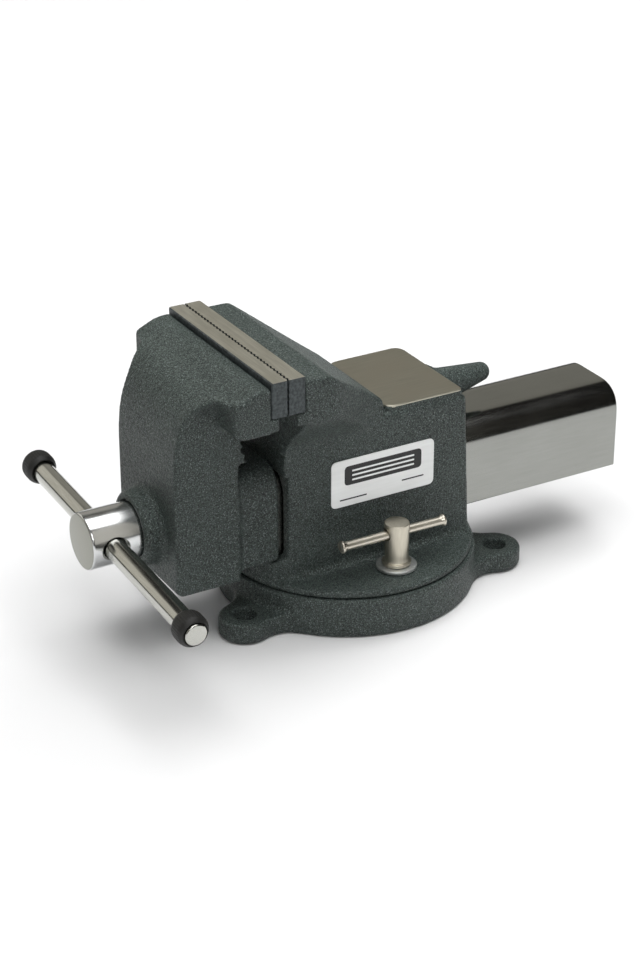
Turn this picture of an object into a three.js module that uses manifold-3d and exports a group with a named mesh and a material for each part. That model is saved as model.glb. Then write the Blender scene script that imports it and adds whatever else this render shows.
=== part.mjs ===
// Bench vise with a swivel base, as an assembly of separate parts.
// Millimetres. +Z is up and z = 0 is the bench. The swivel axis is x = y = 0, the spindle's
// handle is at the front (-Y), the slide bar leaves the body at the back (+Y).

import * as THREE from 'three';
import { mergeVertices } from 'three/addons/utils/BufferGeometryUtils.js';
import Module from 'manifold-3d';

const wasm = await Module();
wasm.setup();

// ---- driving sizes -----------------------------------------------------------------------

const JAW_WIDTH = 100;
const JAW_TOP = 135;
const JAW_LINE = -58; // where the two jaw plates meet
const CLOSED_GAP = 0.3; // left between the jaw plates when the vise is shut

const FIT = 0.3; // gap between parts that touch
const SLIDING_FIT = 0.4; // gap around parts that slide or turn
const SIDES = 24; // flats around a round part
const BORE_SIDES = 24;
const RING_SIDES = 56; // flats around the base and the body's foot

const PLATE_THICKNESS = 8.3;
const PLATE_HEIGHT = 17;
const PLATE_STAND = 2.7; // how far a plate stands above its casting
const PLATE_SCREW_SPACING = 62;
const PLATE_SCREW_LENGTH = 15;
const PLATE_SCREW_RADIUS = 3;
const PLATE_SCREW_HEAD_RADIUS = 5.6;
const PLATE_SCREW_SOCKET = 2.2;

const LIP_DEPTH = 4.3; // how far the shelf under a plate comes forward of its seat
const LIP_HEIGHT = 6.5;

const BASE_RADIUS = 62.5;
const BASE_HEIGHT = 19;
const LUG_THICKNESS = 10;
const LUG_CIRCLE = 74;
const LUG_RADIUS = 12.5;
const LUG_HOLE_RADIUS = 5.5;
const LUG_ROOT = 21; // half width of a lug where it leaves the ring
const LUG_ANGLES = [-69, 69, 180];

const SLOT_CIRCLE = 43; // the lock screws stand on this radius
const SLOT_WIDTH = 11;
const SLOT_UNDERCUT_WIDTH = 18;
const SLOT_FLOOR = 4;
const SLOT_LIP = 6.5; // thickness of the two lips over the undercut
const SLOT_ENTRY_RADIUS = 10.5;

const SPIGOT_RADIUS = 24;
const SOCKET_FLOOR = 6;

const FLANGE_RADIUS = 61;
const FLANGE_THICKNESS = 3.5;

const BODY_WIDTH = 59;
const BODY_FRONT = -47;
const BODY_BACK = 52;
const BODY_CORNER = 3.5;
const BODY_BACK_SLOPE = 3.5; // the back wall leans in by this from its foot to the anvil

const ANVIL_TOP = 98.8;
const ANVIL_WIDTH = 57.6;
const ANVIL_FRONT = 4.5;
const ANVIL_BACK = 47;
const ANVIL_CORNER = 8;
const ANVIL_REAR_CORNER = 3;
const ANVIL_RAISE = 3.5;

const HORN_RADIUS = 10.5;
const HORN_TIP_RADIUS = 4.8;
const HORN_REACH = 80;
const HORN_DROP = 10.8; // from the anvil's top down to the horn's axis at the back wall
const HORN_RISE = 5.5; // degrees that the horn's axis climbs towards its tip

const BAR_WIDTH = 45.4;
const BAR_BOTTOM = 33;
const BAR_HEIGHT = 42.5;
const BAR_CORNER = 9;
const BAR_SIDE_WALL = 5.5;
const BAR_TOP_WALL = 6.5;
const BAR_BACK = 142.5;
const BAR_PIN_RADIUS = 2.5;
const BAR_PIN_HEIGHT = 4; // of the pins' axes above the bar's lower edge
const BAR_PIN_SPACING = 14;

const MOVING_WIDTH = 58;
const MOVING_FRONT = -104.5;
const MOVING_BACK = -72;
const MOVING_BOTTOM = 28.5;
const MOVING_SHOULDER = 127.5; // where the curved front of the moving jaw starts at the top
const HEAD_DEPTH = 17.5; // of the wide head, from the plate seat forward
const HEAD_HEIGHT = 22;
const HEAD_CHAMFER = 5; // height of the slope on the head's top front edge
const FLARE_RADIUS = 15; // where the tall part widens into the head
const POCKET_FRONT = -97;

const NECK_WALL = 4.3; // of the neck, on each side of the slide bar
const NECK_TOP = 81;
const NECK_BOTTOM = 33; // level with the slide bar's underside
const NECK_BACK = -50.5;
const BED_FRONT = -60; // the body's low bed under the neck

const BOSS_RADIUS = 18;
const BOSS_FRONT = -114;

const SPINDLE_HEIGHT = 53.5;
const SPINDLE_RADIUS = 10;
const SPINDLE_HEAD_RADIUS = 13.5;
const SPINDLE_FACE = -138;
const SPINDLE_END = 100;
const SPINDLE_SEAT_DEPTH = 4.4; // counterbore in the boss for the washer and the head
const THRUST_WASHER_THICKNESS = 2;
const COLLAR_RADIUS = 13;
const COLLAR_LENGTH = 9;
const COLLAR_PIN_RADIUS = 2;

const TOMMY_RADIUS = 5.2;
const TOMMY_LENGTH = 170;
const TOMMY_SETBACK = 11.3; // from the spindle's face to the bar's axis
const TOMMY_SHIFT = 7; // the bar has slid this far to the right
const TOMMY_TILT = 3.4; // degrees, right end low
const CAP_RADIUS = 7.7;
const CAP_LENGTH = 10.5;
const CAP_FROM_END = 1.1; // the bar's end stands proud of the cap by this

const NUT_RADIUS = 14.6;
const NUT_FRONT = -26;
const NUT_LENGTH = 34;
const NUT_BOLT_RADIUS = 4;
const NUT_BOLT_HEAD_RADIUS = 7.5;
const NUT_BOLT_HEAD = 5;

const LOCK_Y = 2.8;
const LOCK_SCREW_RADIUS = 4.6;
const LOCK_HEAD_RADIUS = 6;
const LOCK_HEAD_HEIGHT = 21.3;
const LOCK_FOOT_RADIUS = 5.4;
const LOCK_COLLAR_RADIUS = 7;
const LOCK_COLLAR_HEIGHT = 1.6;
const LOCK_BAR_RADIUS = 2.2;
const LOCK_BAR_LENGTH = 56;
const LOCK_BAR_END_RADIUS = 3.1;
const LOCK_BAR_END_LENGTH = 2.4;
const LOCK_BAR_DROP = 5.5; // from the screw's top to the bar's axis
const LOCK_BAR_SHIFT = -2.2; // both bars have slid this far to the front
const WASHER_RADIUS = 9.7;
const WASHER_THICKNESS = 1.8;
const CLAMP_NUT_RADIAL = 16;
const CLAMP_NUT_ALONG = 13;
const CLAMP_NUT_HEIGHT = 6;

const LABEL_LENGTH = 55.6;
const LABEL_HEIGHT = 23.8;
const LABEL_THICKNESS = 0.8;
const LABEL_CORNER = 3;
const LABEL_MIDDLE_Y = 2.7;
const LABEL_MIDDLE_Z = 66;

// ---- places that follow from the driving sizes ----------------------------------------------

const PLATE_BOTTOM = JAW_TOP - PLATE_HEIGHT;
const CASTING_TOP = JAW_TOP - PLATE_STAND;
const STATIC_FACE = JAW_LINE + CLOSED_GAP / 2;
const MOVING_FACE = JAW_LINE - CLOSED_GAP / 2;
const STATIC_SEAT = STATIC_FACE + PLATE_THICKNESS + FIT;
const MOVING_SEAT = MOVING_FACE - PLATE_THICKNESS - FIT;
const LIP_TOP = PLATE_BOTTOM - FIT;
const LIP_BOTTOM = LIP_TOP - LIP_HEIGHT;
const PLATE_MIDDLE = JAW_TOP - PLATE_HEIGHT / 2;

const FLANGE_BOTTOM = BASE_HEIGHT + FIT;
const FLANGE_TOP = FLANGE_BOTTOM + FLANGE_THICKNESS;
const BAR_TOP = BAR_BOTTOM + BAR_HEIGHT;
const CHANNEL_TOP = BAR_TOP - BAR_TOP_WALL;
const CHANNEL_WIDTH = BAR_WIDTH - 2 * BAR_SIDE_WALL;
const NECK_WIDTH = BAR_WIDTH + 2 * NECK_WALL;
const TUNNEL_FLOOR = BAR_BOTTOM - SLIDING_FIT;
const ANVIL_BASE = ANVIL_TOP - ANVIL_RAISE;
const HORN_HEIGHT = ANVIL_TOP - HORN_DROP;

const SPINDLE_SHOULDER = BOSS_FRONT + SPINDLE_SEAT_DEPTH - THRUST_WASHER_THICKNESS - 2 * FIT;
const TOMMY_Y = SPINDLE_FACE + TOMMY_SETBACK;
const COLLAR_FRONT = POCKET_FRONT + FIT;
const BAR_FRONT = POCKET_FRONT + FIT;
const BAR_PIN_Z = BAR_BOTTOM + BAR_PIN_HEIGHT;

const LOCK_WASHER_Z = FLANGE_TOP + FIT;
const LOCK_HEAD_BOTTOM = LOCK_WASHER_Z + WASHER_THICKNESS + FIT;
const LOCK_HEAD_TOP = LOCK_HEAD_BOTTOM + LOCK_HEAD_HEIGHT;
const LOCK_BAR_Z = LOCK_HEAD_TOP - LOCK_BAR_DROP;
const LOCK_X = Math.sqrt(SLOT_CIRCLE ** 2 - LOCK_Y ** 2);
const SLOT_LIP_BOTTOM = BASE_HEIGHT - SLOT_LIP;
const CLAMP_NUT_Z = SLOT_LIP_BOTTOM - SLIDING_FIT - CLAMP_NUT_HEIGHT;

// ---- shapes -------------------------------------------------------------------------------

/** A hole's radius whose flats clear a round part of the given radius all round. */
function boreRadius( radius, clearance = FIT ) {

	return ( radius + clearance ) / Math.cos( Math.PI / BORE_SIDES );

}

/** A closed outline through corners [u, v, rounding], each corner rounded by its own radius. */
function roundedOutline( corners ) {

	const shape = new THREE.Shape();
	const count = corners.length;
	corners.forEach( ( [ u, v, rounding = 0 ], i ) => {

		const corner = new THREE.Vector2( u, v );
		const before = corners[ ( i + count - 1 ) % count ];
		const after = corners[ ( i + 1 ) % count ];
		const start = towards( corner, before, rounding );
		const end = towards( corner, after, rounding );
		if ( i === 0 ) shape.moveTo( start.x, start.y );
		else shape.lineTo( start.x, start.y );
		if ( rounding > 0 ) shape.quadraticCurveTo( u, v, end.x, end.y );

	} );
	shape.closePath();
	return shape;

}

function towards( corner, [ u, v ], distance ) {

	const step = new THREE.Vector2( u, v ).sub( corner ).normalize();
	return corner.clone().addScaledVector( step, distance );

}

/** A rectangle from (u0, v0) to (u1, v1) with rounded corners. */
function roundedRectangle( u0, v0, u1, v1, rounding ) {

	return roundedOutline( [
		[ u0, v0, rounding ],
		[ u1, v0, rounding ],
		[ u1, v1, rounding ],
		[ u0, v1, rounding ]
	] );

}

// ---- solids -------------------------------------------------------------------------------

function solidOf( geometry ) {

	geometry.deleteAttribute( 'normal' );
	geometry.deleteAttribute( 'uv' );
	const merged = mergeVertices( geometry, 1e-4 );
	return new wasm.Manifold( new wasm.Mesh( {
		numProp: 3,
		vertProperties: new Float32Array( merged.attributes.position.array ),
		triVerts: new Uint32Array( merged.index.array )
	} ) );

}

function extrusion( shape, depth, curveSegments ) {

	return new THREE.ExtrudeGeometry( shape, { depth, curveSegments, bevelEnabled: false } );

}

/** An (x, y) outline raised from z0 to z1. */
function alongZ( shape, z0, z1, curveSegments = 6 ) {

	return solidOf( extrusion( shape, z1 - z0, curveSegments ).translate( 0, 0, z0 ) );

}

/** An (x, z) outline run from y0 to y1. */
function alongY( shape, y0, y1, curveSegments = 6 ) {

	const geometry = extrusion( shape, y1 - y0, curveSegments );
	geometry.rotateX( Math.PI / 2 );
	return solidOf( geometry.translate( 0, y1, 0 ) );

}

/** A (y, z) outline run from x0 to x1. */
function alongX( shape, x0, x1, curveSegments = 6 ) {

	const geometry = extrusion( shape, x1 - x0, curveSegments );
	const turn = new THREE.Matrix4().makeBasis(
		new THREE.Vector3( 0, 1, 0 ),
		new THREE.Vector3( 0, 0, 1 ),
		new THREE.Vector3( 1, 0, 0 )
	);
	geometry.applyMatrix4( turn );
	return solidOf( geometry.translate( x0, 0, 0 ) );

}

function box( x0, x1, y0, y1, z0, z1 ) {

	const geometry = new THREE.BoxGeometry( x1 - x0, y1 - y0, z1 - z0 );
	return solidOf( geometry.translate( ( x0 + x1 ) / 2, ( y0 + y1 ) / 2, ( z0 + z1 ) / 2 ) );

}

/** A profile of [radius, height] points turned about the Z axis. */
function turned( profile, sides = SIDES ) {

	const points = profile.map( ( [ radius, height ] ) => new THREE.Vector2( radius, height ) );
	return solidOf( new THREE.LatheGeometry( points, sides ).rotateX( Math.PI / 2 ) );

}

/** The same, turned about a Y axis through (x, z); heights run along +Y. */
function turnedAlongY( profile, x, z, sides = SIDES ) {

	const points = profile.map( ( [ radius, height ] ) => new THREE.Vector2( radius, height ) );
	return solidOf( new THREE.LatheGeometry( points, sides ).translate( x, 0, z ) );

}

function rodAlongZ( x, y, radius, z0, z1, sides = SIDES ) {

	const geometry = new THREE.CylinderGeometry( radius, radius, z1 - z0, sides );
	geometry.rotateX( Math.PI / 2 );
	return solidOf( geometry.translate( x, y, ( z0 + z1 ) / 2 ) );

}

function rodAlongY( x, z, radius, y0, y1, sides = SIDES ) {

	const geometry = new THREE.CylinderGeometry( radius, radius, y1 - y0, sides );
	return solidOf( geometry.translate( x, ( y0 + y1 ) / 2, z ) );

}

function rodAlongX( y, z, radius, x0, x1, sides = SIDES ) {

	const geometry = new THREE.CylinderGeometry( radius, radius, x1 - x0, sides );
	geometry.rotateZ( - Math.PI / 2 );
	return solidOf( geometry.translate( ( x0 + x1 ) / 2, y, z ) );

}

function allOf( solids ) {

	return solids.reduce( ( sum, solid ) => sum.add( solid ) );

}

// ---- swivel base ----------------------------------------------------------------------------

function lugSolid( angle ) {

	const outline = new THREE.Shape();
	outline.moveTo( BASE_RADIUS * 0.7, - LUG_ROOT );
	outline.quadraticCurveTo( BASE_RADIUS, - LUG_RADIUS, LUG_CIRCLE, - LUG_RADIUS );
	outline.absarc( LUG_CIRCLE, 0, LUG_RADIUS, - Math.PI / 2, Math.PI / 2, false );
	outline.quadraticCurveTo( BASE_RADIUS, LUG_RADIUS, BASE_RADIUS * 0.7, LUG_ROOT );
	outline.closePath();
	const lug = alongZ( outline, 0, LUG_THICKNESS, 8 );
	return lug.rotate( [ 0, 0, angle ] );

}

function lugHole( angle ) {

	const hole = rodAlongZ( LUG_CIRCLE, 0, LUG_HOLE_RADIUS, - 1, LUG_THICKNESS + 1 );
	return hole.rotate( [ 0, 0, angle ] );

}

/** The ring-shaped T-slot, open at the top. */
function ringSlot() {

	const mouth = SLOT_WIDTH / 2;
	const undercut = SLOT_UNDERCUT_WIDTH / 2;
	return turned( [
		[ SLOT_CIRCLE - undercut, SLOT_FLOOR ],
		[ SLOT_CIRCLE + undercut, SLOT_FLOOR ],
		[ SLOT_CIRCLE + undercut, SLOT_LIP_BOTTOM ],
		[ SLOT_CIRCLE + mouth, SLOT_LIP_BOTTOM ],
		[ SLOT_CIRCLE + mouth, BASE_HEIGHT + 1 ],
		[ SLOT_CIRCLE - mouth, BASE_HEIGHT + 1 ],
		[ SLOT_CIRCLE - mouth, SLOT_LIP_BOTTOM ],
		[ SLOT_CIRCLE - undercut, SLOT_LIP_BOTTOM ],
		[ SLOT_CIRCLE - undercut, SLOT_FLOOR ]
	], RING_SIDES );

}

function swivelBase() {

	const ring = turned( [
		[ 0, 0 ],
		[ BASE_RADIUS, 0 ],
		[ BASE_RADIUS, BASE_HEIGHT - 1.5 ],
		[ BASE_RADIUS - 1.5, BASE_HEIGHT ],
		[ 0, BASE_HEIGHT ]
	], RING_SIDES );
	const socket = rodAlongZ( 0, 0, boreRadius( SPIGOT_RADIUS, SLIDING_FIT ), SOCKET_FLOOR,
		BASE_HEIGHT + 1, BORE_SIDES );
	const entry = rodAlongZ( 0, SLOT_CIRCLE, SLOT_ENTRY_RADIUS, - 1, SLOT_FLOOR + 1 );
	const solid = allOf( [ ring, ...LUG_ANGLES.map( lugSolid ) ] );
	const holes = allOf( [ ringSlot(), socket, entry, ...LUG_ANGLES.map( lugHole ) ] );
	return solid.subtract( holes );

}

// ---- vise body ------------------------------------------------------------------------------

/** The body's round foot with the spigot that turns in the base. */
function footSolid() {

	return turned( [
		[ 0, SOCKET_FLOOR + SLIDING_FIT ],
		[ SPIGOT_RADIUS, SOCKET_FLOOR + SLIDING_FIT ],
		[ SPIGOT_RADIUS, FLANGE_BOTTOM ],
		[ FLANGE_RADIUS, FLANGE_BOTTOM ],
		[ FLANGE_RADIUS, FLANGE_TOP - 1.5 ],
		[ FLANGE_RADIUS - 1.5, FLANGE_TOP ],
		[ 0, FLANGE_TOP ]
	], RING_SIDES );

}

/** The static jaw: wide at the plate, drawn in and sloping down towards the anvil. */
function staticWing() {

	const half = JAW_WIDTH / 2;
	const bodyHalf = BODY_WIDTH / 2;
	const wingBack = ANVIL_FRONT + 1.5;
	const flatBack = STATIC_SEAT + 12.5;

	const plan = new THREE.Shape();
	plan.moveTo( - half, STATIC_SEAT );
	plan.lineTo( half, STATIC_SEAT );
	plan.lineTo( half, flatBack );
	plan.bezierCurveTo( half, flatBack + 11, bodyHalf, wingBack - 16, bodyHalf, wingBack );
	plan.lineTo( - bodyHalf, wingBack );
	plan.bezierCurveTo( - bodyHalf, wingBack - 16, - half, flatBack + 11, - half, flatBack );
	plan.closePath();

	const side = new THREE.Shape();
	side.moveTo( STATIC_SEAT, ANVIL_BASE - 20 );
	side.lineTo( wingBack, ANVIL_BASE - 20 );
	side.lineTo( wingBack, ANVIL_TOP + 1 );
	side.quadraticCurveTo( wingBack, ANVIL_TOP + 4, wingBack - 4, ANVIL_TOP + 6.8 );
	side.lineTo( flatBack + 2, CASTING_TOP - 1.4 );
	side.quadraticCurveTo( flatBack, CASTING_TOP, flatBack - 2, CASTING_TOP );
	side.lineTo( STATIC_SEAT, CASTING_TOP );
	side.closePath();

	const front = gussetOutline( half, bodyHalf, ANVIL_BASE - 20 );
	return alongZ( plan, ANVIL_BASE - 20, CASTING_TOP, 8 )
		.intersect( alongX( side, - half, half, 8 ) )
		.intersect( alongY( front, STATIC_SEAT - 1, wingBack + 1 ) );

}

/** Front view of a jaw: full width above its lip, drawn in below it to the casting's width. */
function gussetOutline( half, inner, bottom ) {

	return roundedOutline( [
		[ - inner, bottom ],
		[ inner, bottom ],
		[ inner, LIP_BOTTOM - 20, 8 ],
		[ half, LIP_BOTTOM, 3 ],
		[ half, CASTING_TOP ],
		[ - half, CASTING_TOP ],
		[ - half, LIP_BOTTOM, 3 ],
		[ - inner, LIP_BOTTOM - 20, 8 ]
	] );

}

/** The row of pipe teeth below a jaw plate, as a (y, z) outline; sign is the way it faces. */
function pipeJawOutline( root, sign ) {

	const teeth = 5;
	const pitch = 4.4;
	const top = LIP_BOTTOM - 1;
	const outline = [ [ root, top ] ];
	for ( let i = 0; i <= teeth; i ++ ) {

		const fromMiddle = Math.abs( i / teeth - 0.5 ) * 2;
		const reach = 2 + 4 * fromMiddle;
		const z = top - i * pitch;
		outline.push( [ root + sign * reach, z ] );
		if ( i < teeth ) outline.push( [ root + sign * ( reach - 1.6 ), z - pitch / 2 ] );

	}
	outline.push( [ root, top - teeth * pitch ] );
	return roundedOutline( outline );

}

function hornSolid() {

	const root = 10;
	const tip = HORN_REACH - BODY_BACK - HORN_TIP_RADIUS;
	const profile = [ [ 0, - root ], [ HORN_RADIUS, - root ] ];
	for ( let i = 0; i <= 6; i ++ ) {

		const angle = i / 6 * Math.PI / 2;
		profile.push( [ HORN_TIP_RADIUS * Math.cos( angle ), tip + HORN_TIP_RADIUS * Math.sin( angle ) ] );

	}
	profile[ profile.length - 1 ][ 0 ] = 0;
	const horn = turnedAlongY( profile, 0, 0, 20 );
	return horn.rotate( [ HORN_RISE, 0, 0 ] ).translate( [ 0, BODY_BACK, HORN_HEIGHT ] );

}

/** Section of the slide bar's outside, grown by a clearance. */
function barOutline( grow = 0 ) {

	const half = BAR_WIDTH / 2 + grow;
	const corner = BAR_CORNER * 1.6 + grow;
	return roundedOutline( [
		[ - half, BAR_BOTTOM - grow ],
		[ half, BAR_BOTTOM - grow ],
		[ half, BAR_TOP + grow, corner ],
		[ - half, BAR_TOP + grow, corner ]
	] );

}

function viseBody() {

	const half = BODY_WIDTH / 2;
	const side = roundedOutline( [
		[ BODY_FRONT, FLANGE_BOTTOM + 1 ],
		[ BODY_BACK, FLANGE_BOTTOM + 1 ],
		[ BODY_BACK - BODY_BACK_SLOPE, ANVIL_BASE ],
		[ BODY_FRONT, ANVIL_BASE ]
	] );
	const block = alongZ( roundedRectangle( - half, BODY_FRONT, half, BODY_BACK, BODY_CORNER ),
		FLANGE_BOTTOM + 1, ANVIL_BASE ).intersect( alongX( side, - half, half ) );
	const anvilHalf = ANVIL_WIDTH / 2;
	const anvil = alongZ( roundedOutline( [
		[ - anvilHalf, ANVIL_FRONT, ANVIL_CORNER ],
		[ anvilHalf, ANVIL_FRONT, ANVIL_CORNER ],
		[ anvilHalf, ANVIL_BACK, ANVIL_REAR_CORNER ],
		[ - anvilHalf, ANVIL_BACK, ANVIL_REAR_CORNER ]
	] ), ANVIL_BASE - 1, ANVIL_TOP );
	const jawHalf = JAW_WIDTH / 2;
	const lip = box( - jawHalf, jawHalf, STATIC_SEAT - LIP_DEPTH, STATIC_SEAT + 1, LIP_BOTTOM, LIP_TOP );
	const teeth = alongX( pipeJawOutline( BODY_FRONT + 0.5, - 1 ), - half, half );
	const solid = allOf( [ footSolid(), block, staticWing(), anvil, lip, teeth, hornSolid(), bedSolid() ] );

	const tunnel = alongY( barOutline( SLIDING_FIT ), BODY_FRONT - 20, BODY_BACK + 20 );
	const boltHole = rodAlongZ( 0, nutBoltY(), boreRadius( NUT_BOLT_RADIUS ), 0, TUNNEL_FLOOR + 1,
		BORE_SIDES );
	const boltSeat = rodAlongZ( 0, nutBoltY(), boreRadius( NUT_BOLT_HEAD_RADIUS ), 0, nutBoltSeat(),
		BORE_SIDES );
	const lockHoles = [ - 1, 1 ].map( ( side ) => rodAlongZ( side * LOCK_X, LOCK_Y,
		boreRadius( LOCK_SCREW_RADIUS, SLIDING_FIT ), 0, FLANGE_TOP + 1, BORE_SIDES ) );
	const screwHoles = plateScrewPlaces().map( ( x ) => rodAlongY( x, PLATE_MIDDLE,
		boreRadius( PLATE_SCREW_RADIUS ), STATIC_SEAT - 1, STATIC_FACE + PLATE_SCREW_LENGTH + 1,
		BORE_SIDES ) );
	return solid.subtract( allOf( [ tunnel, boltHole, boltSeat, ...lockHoles, ...screwHoles ] ) );

}

/** The part of the body's floor that reaches forward under the moving jaw's neck. */
function bedSolid() {

	const half = NECK_WIDTH / 2;
	const bed = box( - half, half, BED_FRONT, BODY_FRONT + 1, FLANGE_BOTTOM + 1, NECK_BOTTOM - 2 * FIT );
	return bed.intersect( rodAlongZ( 0, 0, FLANGE_RADIUS - 1, 0, NECK_BOTTOM, RING_SIDES ) );

}

function nutBoltY() {

	return NUT_FRONT + NUT_LENGTH / 2;

}

function nutBoltSeat() {

	return SOCKET_FLOOR + SLIDING_FIT + NUT_BOLT_HEAD + 4;

}

function plateScrewPlaces() {

	return [ - PLATE_SCREW_SPACING / 2, PLATE_SCREW_SPACING / 2 ];

}

// ---- jaw plates and their screws ---------------------------------------------------------------

/** A plate's countersunk screw along +Y with its head's face at y = 0. */
function plateScrewSolid( grow = 0 ) {

	const neck = PLATE_SCREW_RADIUS + grow;
	const head = PLATE_SCREW_HEAD_RADIUS + grow;
	return turnedAlongY( [
		[ 0, - 3 * grow ],
		[ head, - 3 * grow ],
		[ head, 0.4 ],
		[ neck, 0.4 + head - neck ],
		[ neck, PLATE_SCREW_LENGTH - 1 + grow ],
		[ 0, PLATE_SCREW_LENGTH - 1 + grow ]
	], 0, 0, BORE_SIDES );

}

function plateScrew() {

	const socket = new THREE.CylinderGeometry( PLATE_SCREW_SOCKET, PLATE_SCREW_SOCKET, 6, 6 );
	return plateScrewSolid().subtract( solidOf( socket ) );

}

/** A plate with its working face at y = 0 and its back at +Y. */
function jawPlate() {

	const half = JAW_WIDTH / 2;
	const plate = box( - half, half, 0, PLATE_THICKNESS, PLATE_BOTTOM, JAW_TOP );
	const holes = plateScrewPlaces().map( ( x ) => plateScrewSolid( 0.25 ).translate( [ x, 1, PLATE_MIDDLE ] ) );
	return plate.subtract( allOf( holes ) );

}

// ---- moving jaw -----------------------------------------------------------------------------

/** The tall casting in front, seen from the side, with its curved shoulder. */
function movingOutline() {

	const foot = 4;
	const shape = new THREE.Shape();
	shape.moveTo( MOVING_BACK, MOVING_BOTTOM );
	shape.lineTo( MOVING_BACK, CASTING_TOP - 1 );
	shape.lineTo( MOVING_SEAT - HEAD_DEPTH, MOVING_SHOULDER );
	shape.bezierCurveTo( MOVING_FRONT + 7, MOVING_SHOULDER - 3, MOVING_FRONT, MOVING_SHOULDER - 16,
		MOVING_FRONT, MOVING_SHOULDER - 40 );
	shape.lineTo( MOVING_FRONT, MOVING_BOTTOM + foot );
	shape.quadraticCurveTo( MOVING_FRONT, MOVING_BOTTOM, MOVING_FRONT + foot, MOVING_BOTTOM );
	shape.closePath();
	return shape;

}

function headOutline() {

	const front = MOVING_SEAT - HEAD_DEPTH;
	return roundedOutline( [
		[ MOVING_SEAT, LIP_BOTTOM ],
		[ MOVING_SEAT, CASTING_TOP ],
		[ front + 11, CASTING_TOP, 4 ],
		[ front, CASTING_TOP - HEAD_CHAMFER, 2 ],
		[ front, CASTING_TOP - HEAD_HEIGHT, 5 ]
	] );

}

/** The front view between the straight sides and the head, with hollow quarter-round corners. */
function flareOutline() {

	const half = MOVING_WIDTH / 2;
	const jawHalf = JAW_WIDTH / 2;
	const top = CASTING_TOP - HEAD_CHAMFER - 0.2;
	const shape = new THREE.Shape();
	shape.moveTo( half - 1, top - FLARE_RADIUS );
	shape.lineTo( half, top - FLARE_RADIUS );
	shape.absarc( half + FLARE_RADIUS, top - FLARE_RADIUS, FLARE_RADIUS, Math.PI, Math.PI / 2, true );
	shape.lineTo( jawHalf, top );
	shape.lineTo( jawHalf, CASTING_TOP - 0.3 );
	shape.lineTo( - jawHalf, CASTING_TOP - 0.3 );
	shape.lineTo( - jawHalf, top );
	shape.lineTo( - half - FLARE_RADIUS, top );
	shape.absarc( - half - FLARE_RADIUS, top - FLARE_RADIUS, FLARE_RADIUS, Math.PI / 2, 0, true );
	shape.lineTo( 1 - half, top - FLARE_RADIUS );
	shape.closePath();
	return shape;

}

function bossSolid() {

	return turnedAlongY( [
		[ 0, BOSS_FRONT ],
		[ BOSS_RADIUS - 4.5, BOSS_FRONT ],
		[ BOSS_RADIUS - 1.3, BOSS_FRONT + 1.4 ],
		[ BOSS_RADIUS, BOSS_FRONT + 4.5 ],
		[ BOSS_RADIUS, MOVING_FRONT + 2 ],
		[ 0, MOVING_FRONT + 2 ]
	], 0, SPINDLE_HEIGHT, BORE_SIDES );

}

function movingJaw() {

	const half = MOVING_WIDTH / 2;
	const jawHalf = JAW_WIDTH / 2;
	const tower = alongX( movingOutline(), - half, half, 10 );
	const head = alongX( headOutline(), - jawHalf, jawHalf, 5 );
	const flare = alongX( movingOutline(), - jawHalf, jawHalf, 10 )
		.intersect( alongY( flareOutline(), MOVING_FRONT, MOVING_SEAT - 4 ) );
	const lip = box( - jawHalf, jawHalf, MOVING_SEAT - 1, MOVING_SEAT + LIP_DEPTH, LIP_BOTTOM, LIP_TOP );
	const neckHalf = NECK_WIDTH / 2;
	const neck = alongY( roundedOutline( [
		[ - neckHalf, NECK_BOTTOM, 2 ],
		[ neckHalf, NECK_BOTTOM, 2 ],
		[ neckHalf, NECK_TOP, 14 ],
		[ - neckHalf, NECK_TOP, 14 ]
	] ), MOVING_BACK - 1, NECK_BACK );
	const teeth = alongX( pipeJawOutline( MOVING_BACK - 0.5, 1 ), - half, half );
	const solid = allOf( [ tower, head, flare, lip, neck, teeth, bossSolid() ] );

	const pocket = alongY( barOutline( FIT ), POCKET_FRONT, NECK_BACK + 1 );
	const openBottom = box( - CHANNEL_WIDTH / 2, CHANNEL_WIDTH / 2, POCKET_FRONT + 16, NECK_BACK + 1,
		MOVING_BOTTOM - 1, BAR_BOTTOM );
	const bore = rodAlongY( 0, SPINDLE_HEIGHT, boreRadius( SPINDLE_RADIUS, SLIDING_FIT ), BOSS_FRONT - 1,
		POCKET_FRONT + 1, BORE_SIDES );
	const seat = rodAlongY( 0, SPINDLE_HEIGHT, boreRadius( SPINDLE_HEAD_RADIUS, SLIDING_FIT ),
		BOSS_FRONT - 1, BOSS_FRONT + SPINDLE_SEAT_DEPTH, BORE_SIDES );
	const screwHoles = plateScrewPlaces().map( ( x ) => rodAlongY( x, PLATE_MIDDLE,
		boreRadius( PLATE_SCREW_RADIUS ), MOVING_FACE - PLATE_SCREW_LENGTH - 1, MOVING_SEAT + 1,
		BORE_SIDES ) );
	const pinHoles = barPinPlaces().map( ( y ) => rodAlongX( y, BAR_PIN_Z, boreRadius( BAR_PIN_RADIUS ),
		- half - 1, barPinEnd() + FIT, BORE_SIDES ) );
	return solid.subtract( allOf( [ pocket, openBottom, bore, seat, ...screwHoles, ...pinHoles ] ) );

}

// ---- slide bar ------------------------------------------------------------------------------

function barPinPlaces() {

	const first = BAR_FRONT + 8;
	return [ first, first + BAR_PIN_SPACING ];

}

/** The pins are driven in from the left and stop inside the right-hand wall. */
function barPinEnd() {

	return BAR_WIDTH / 2 + 2;

}

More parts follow.
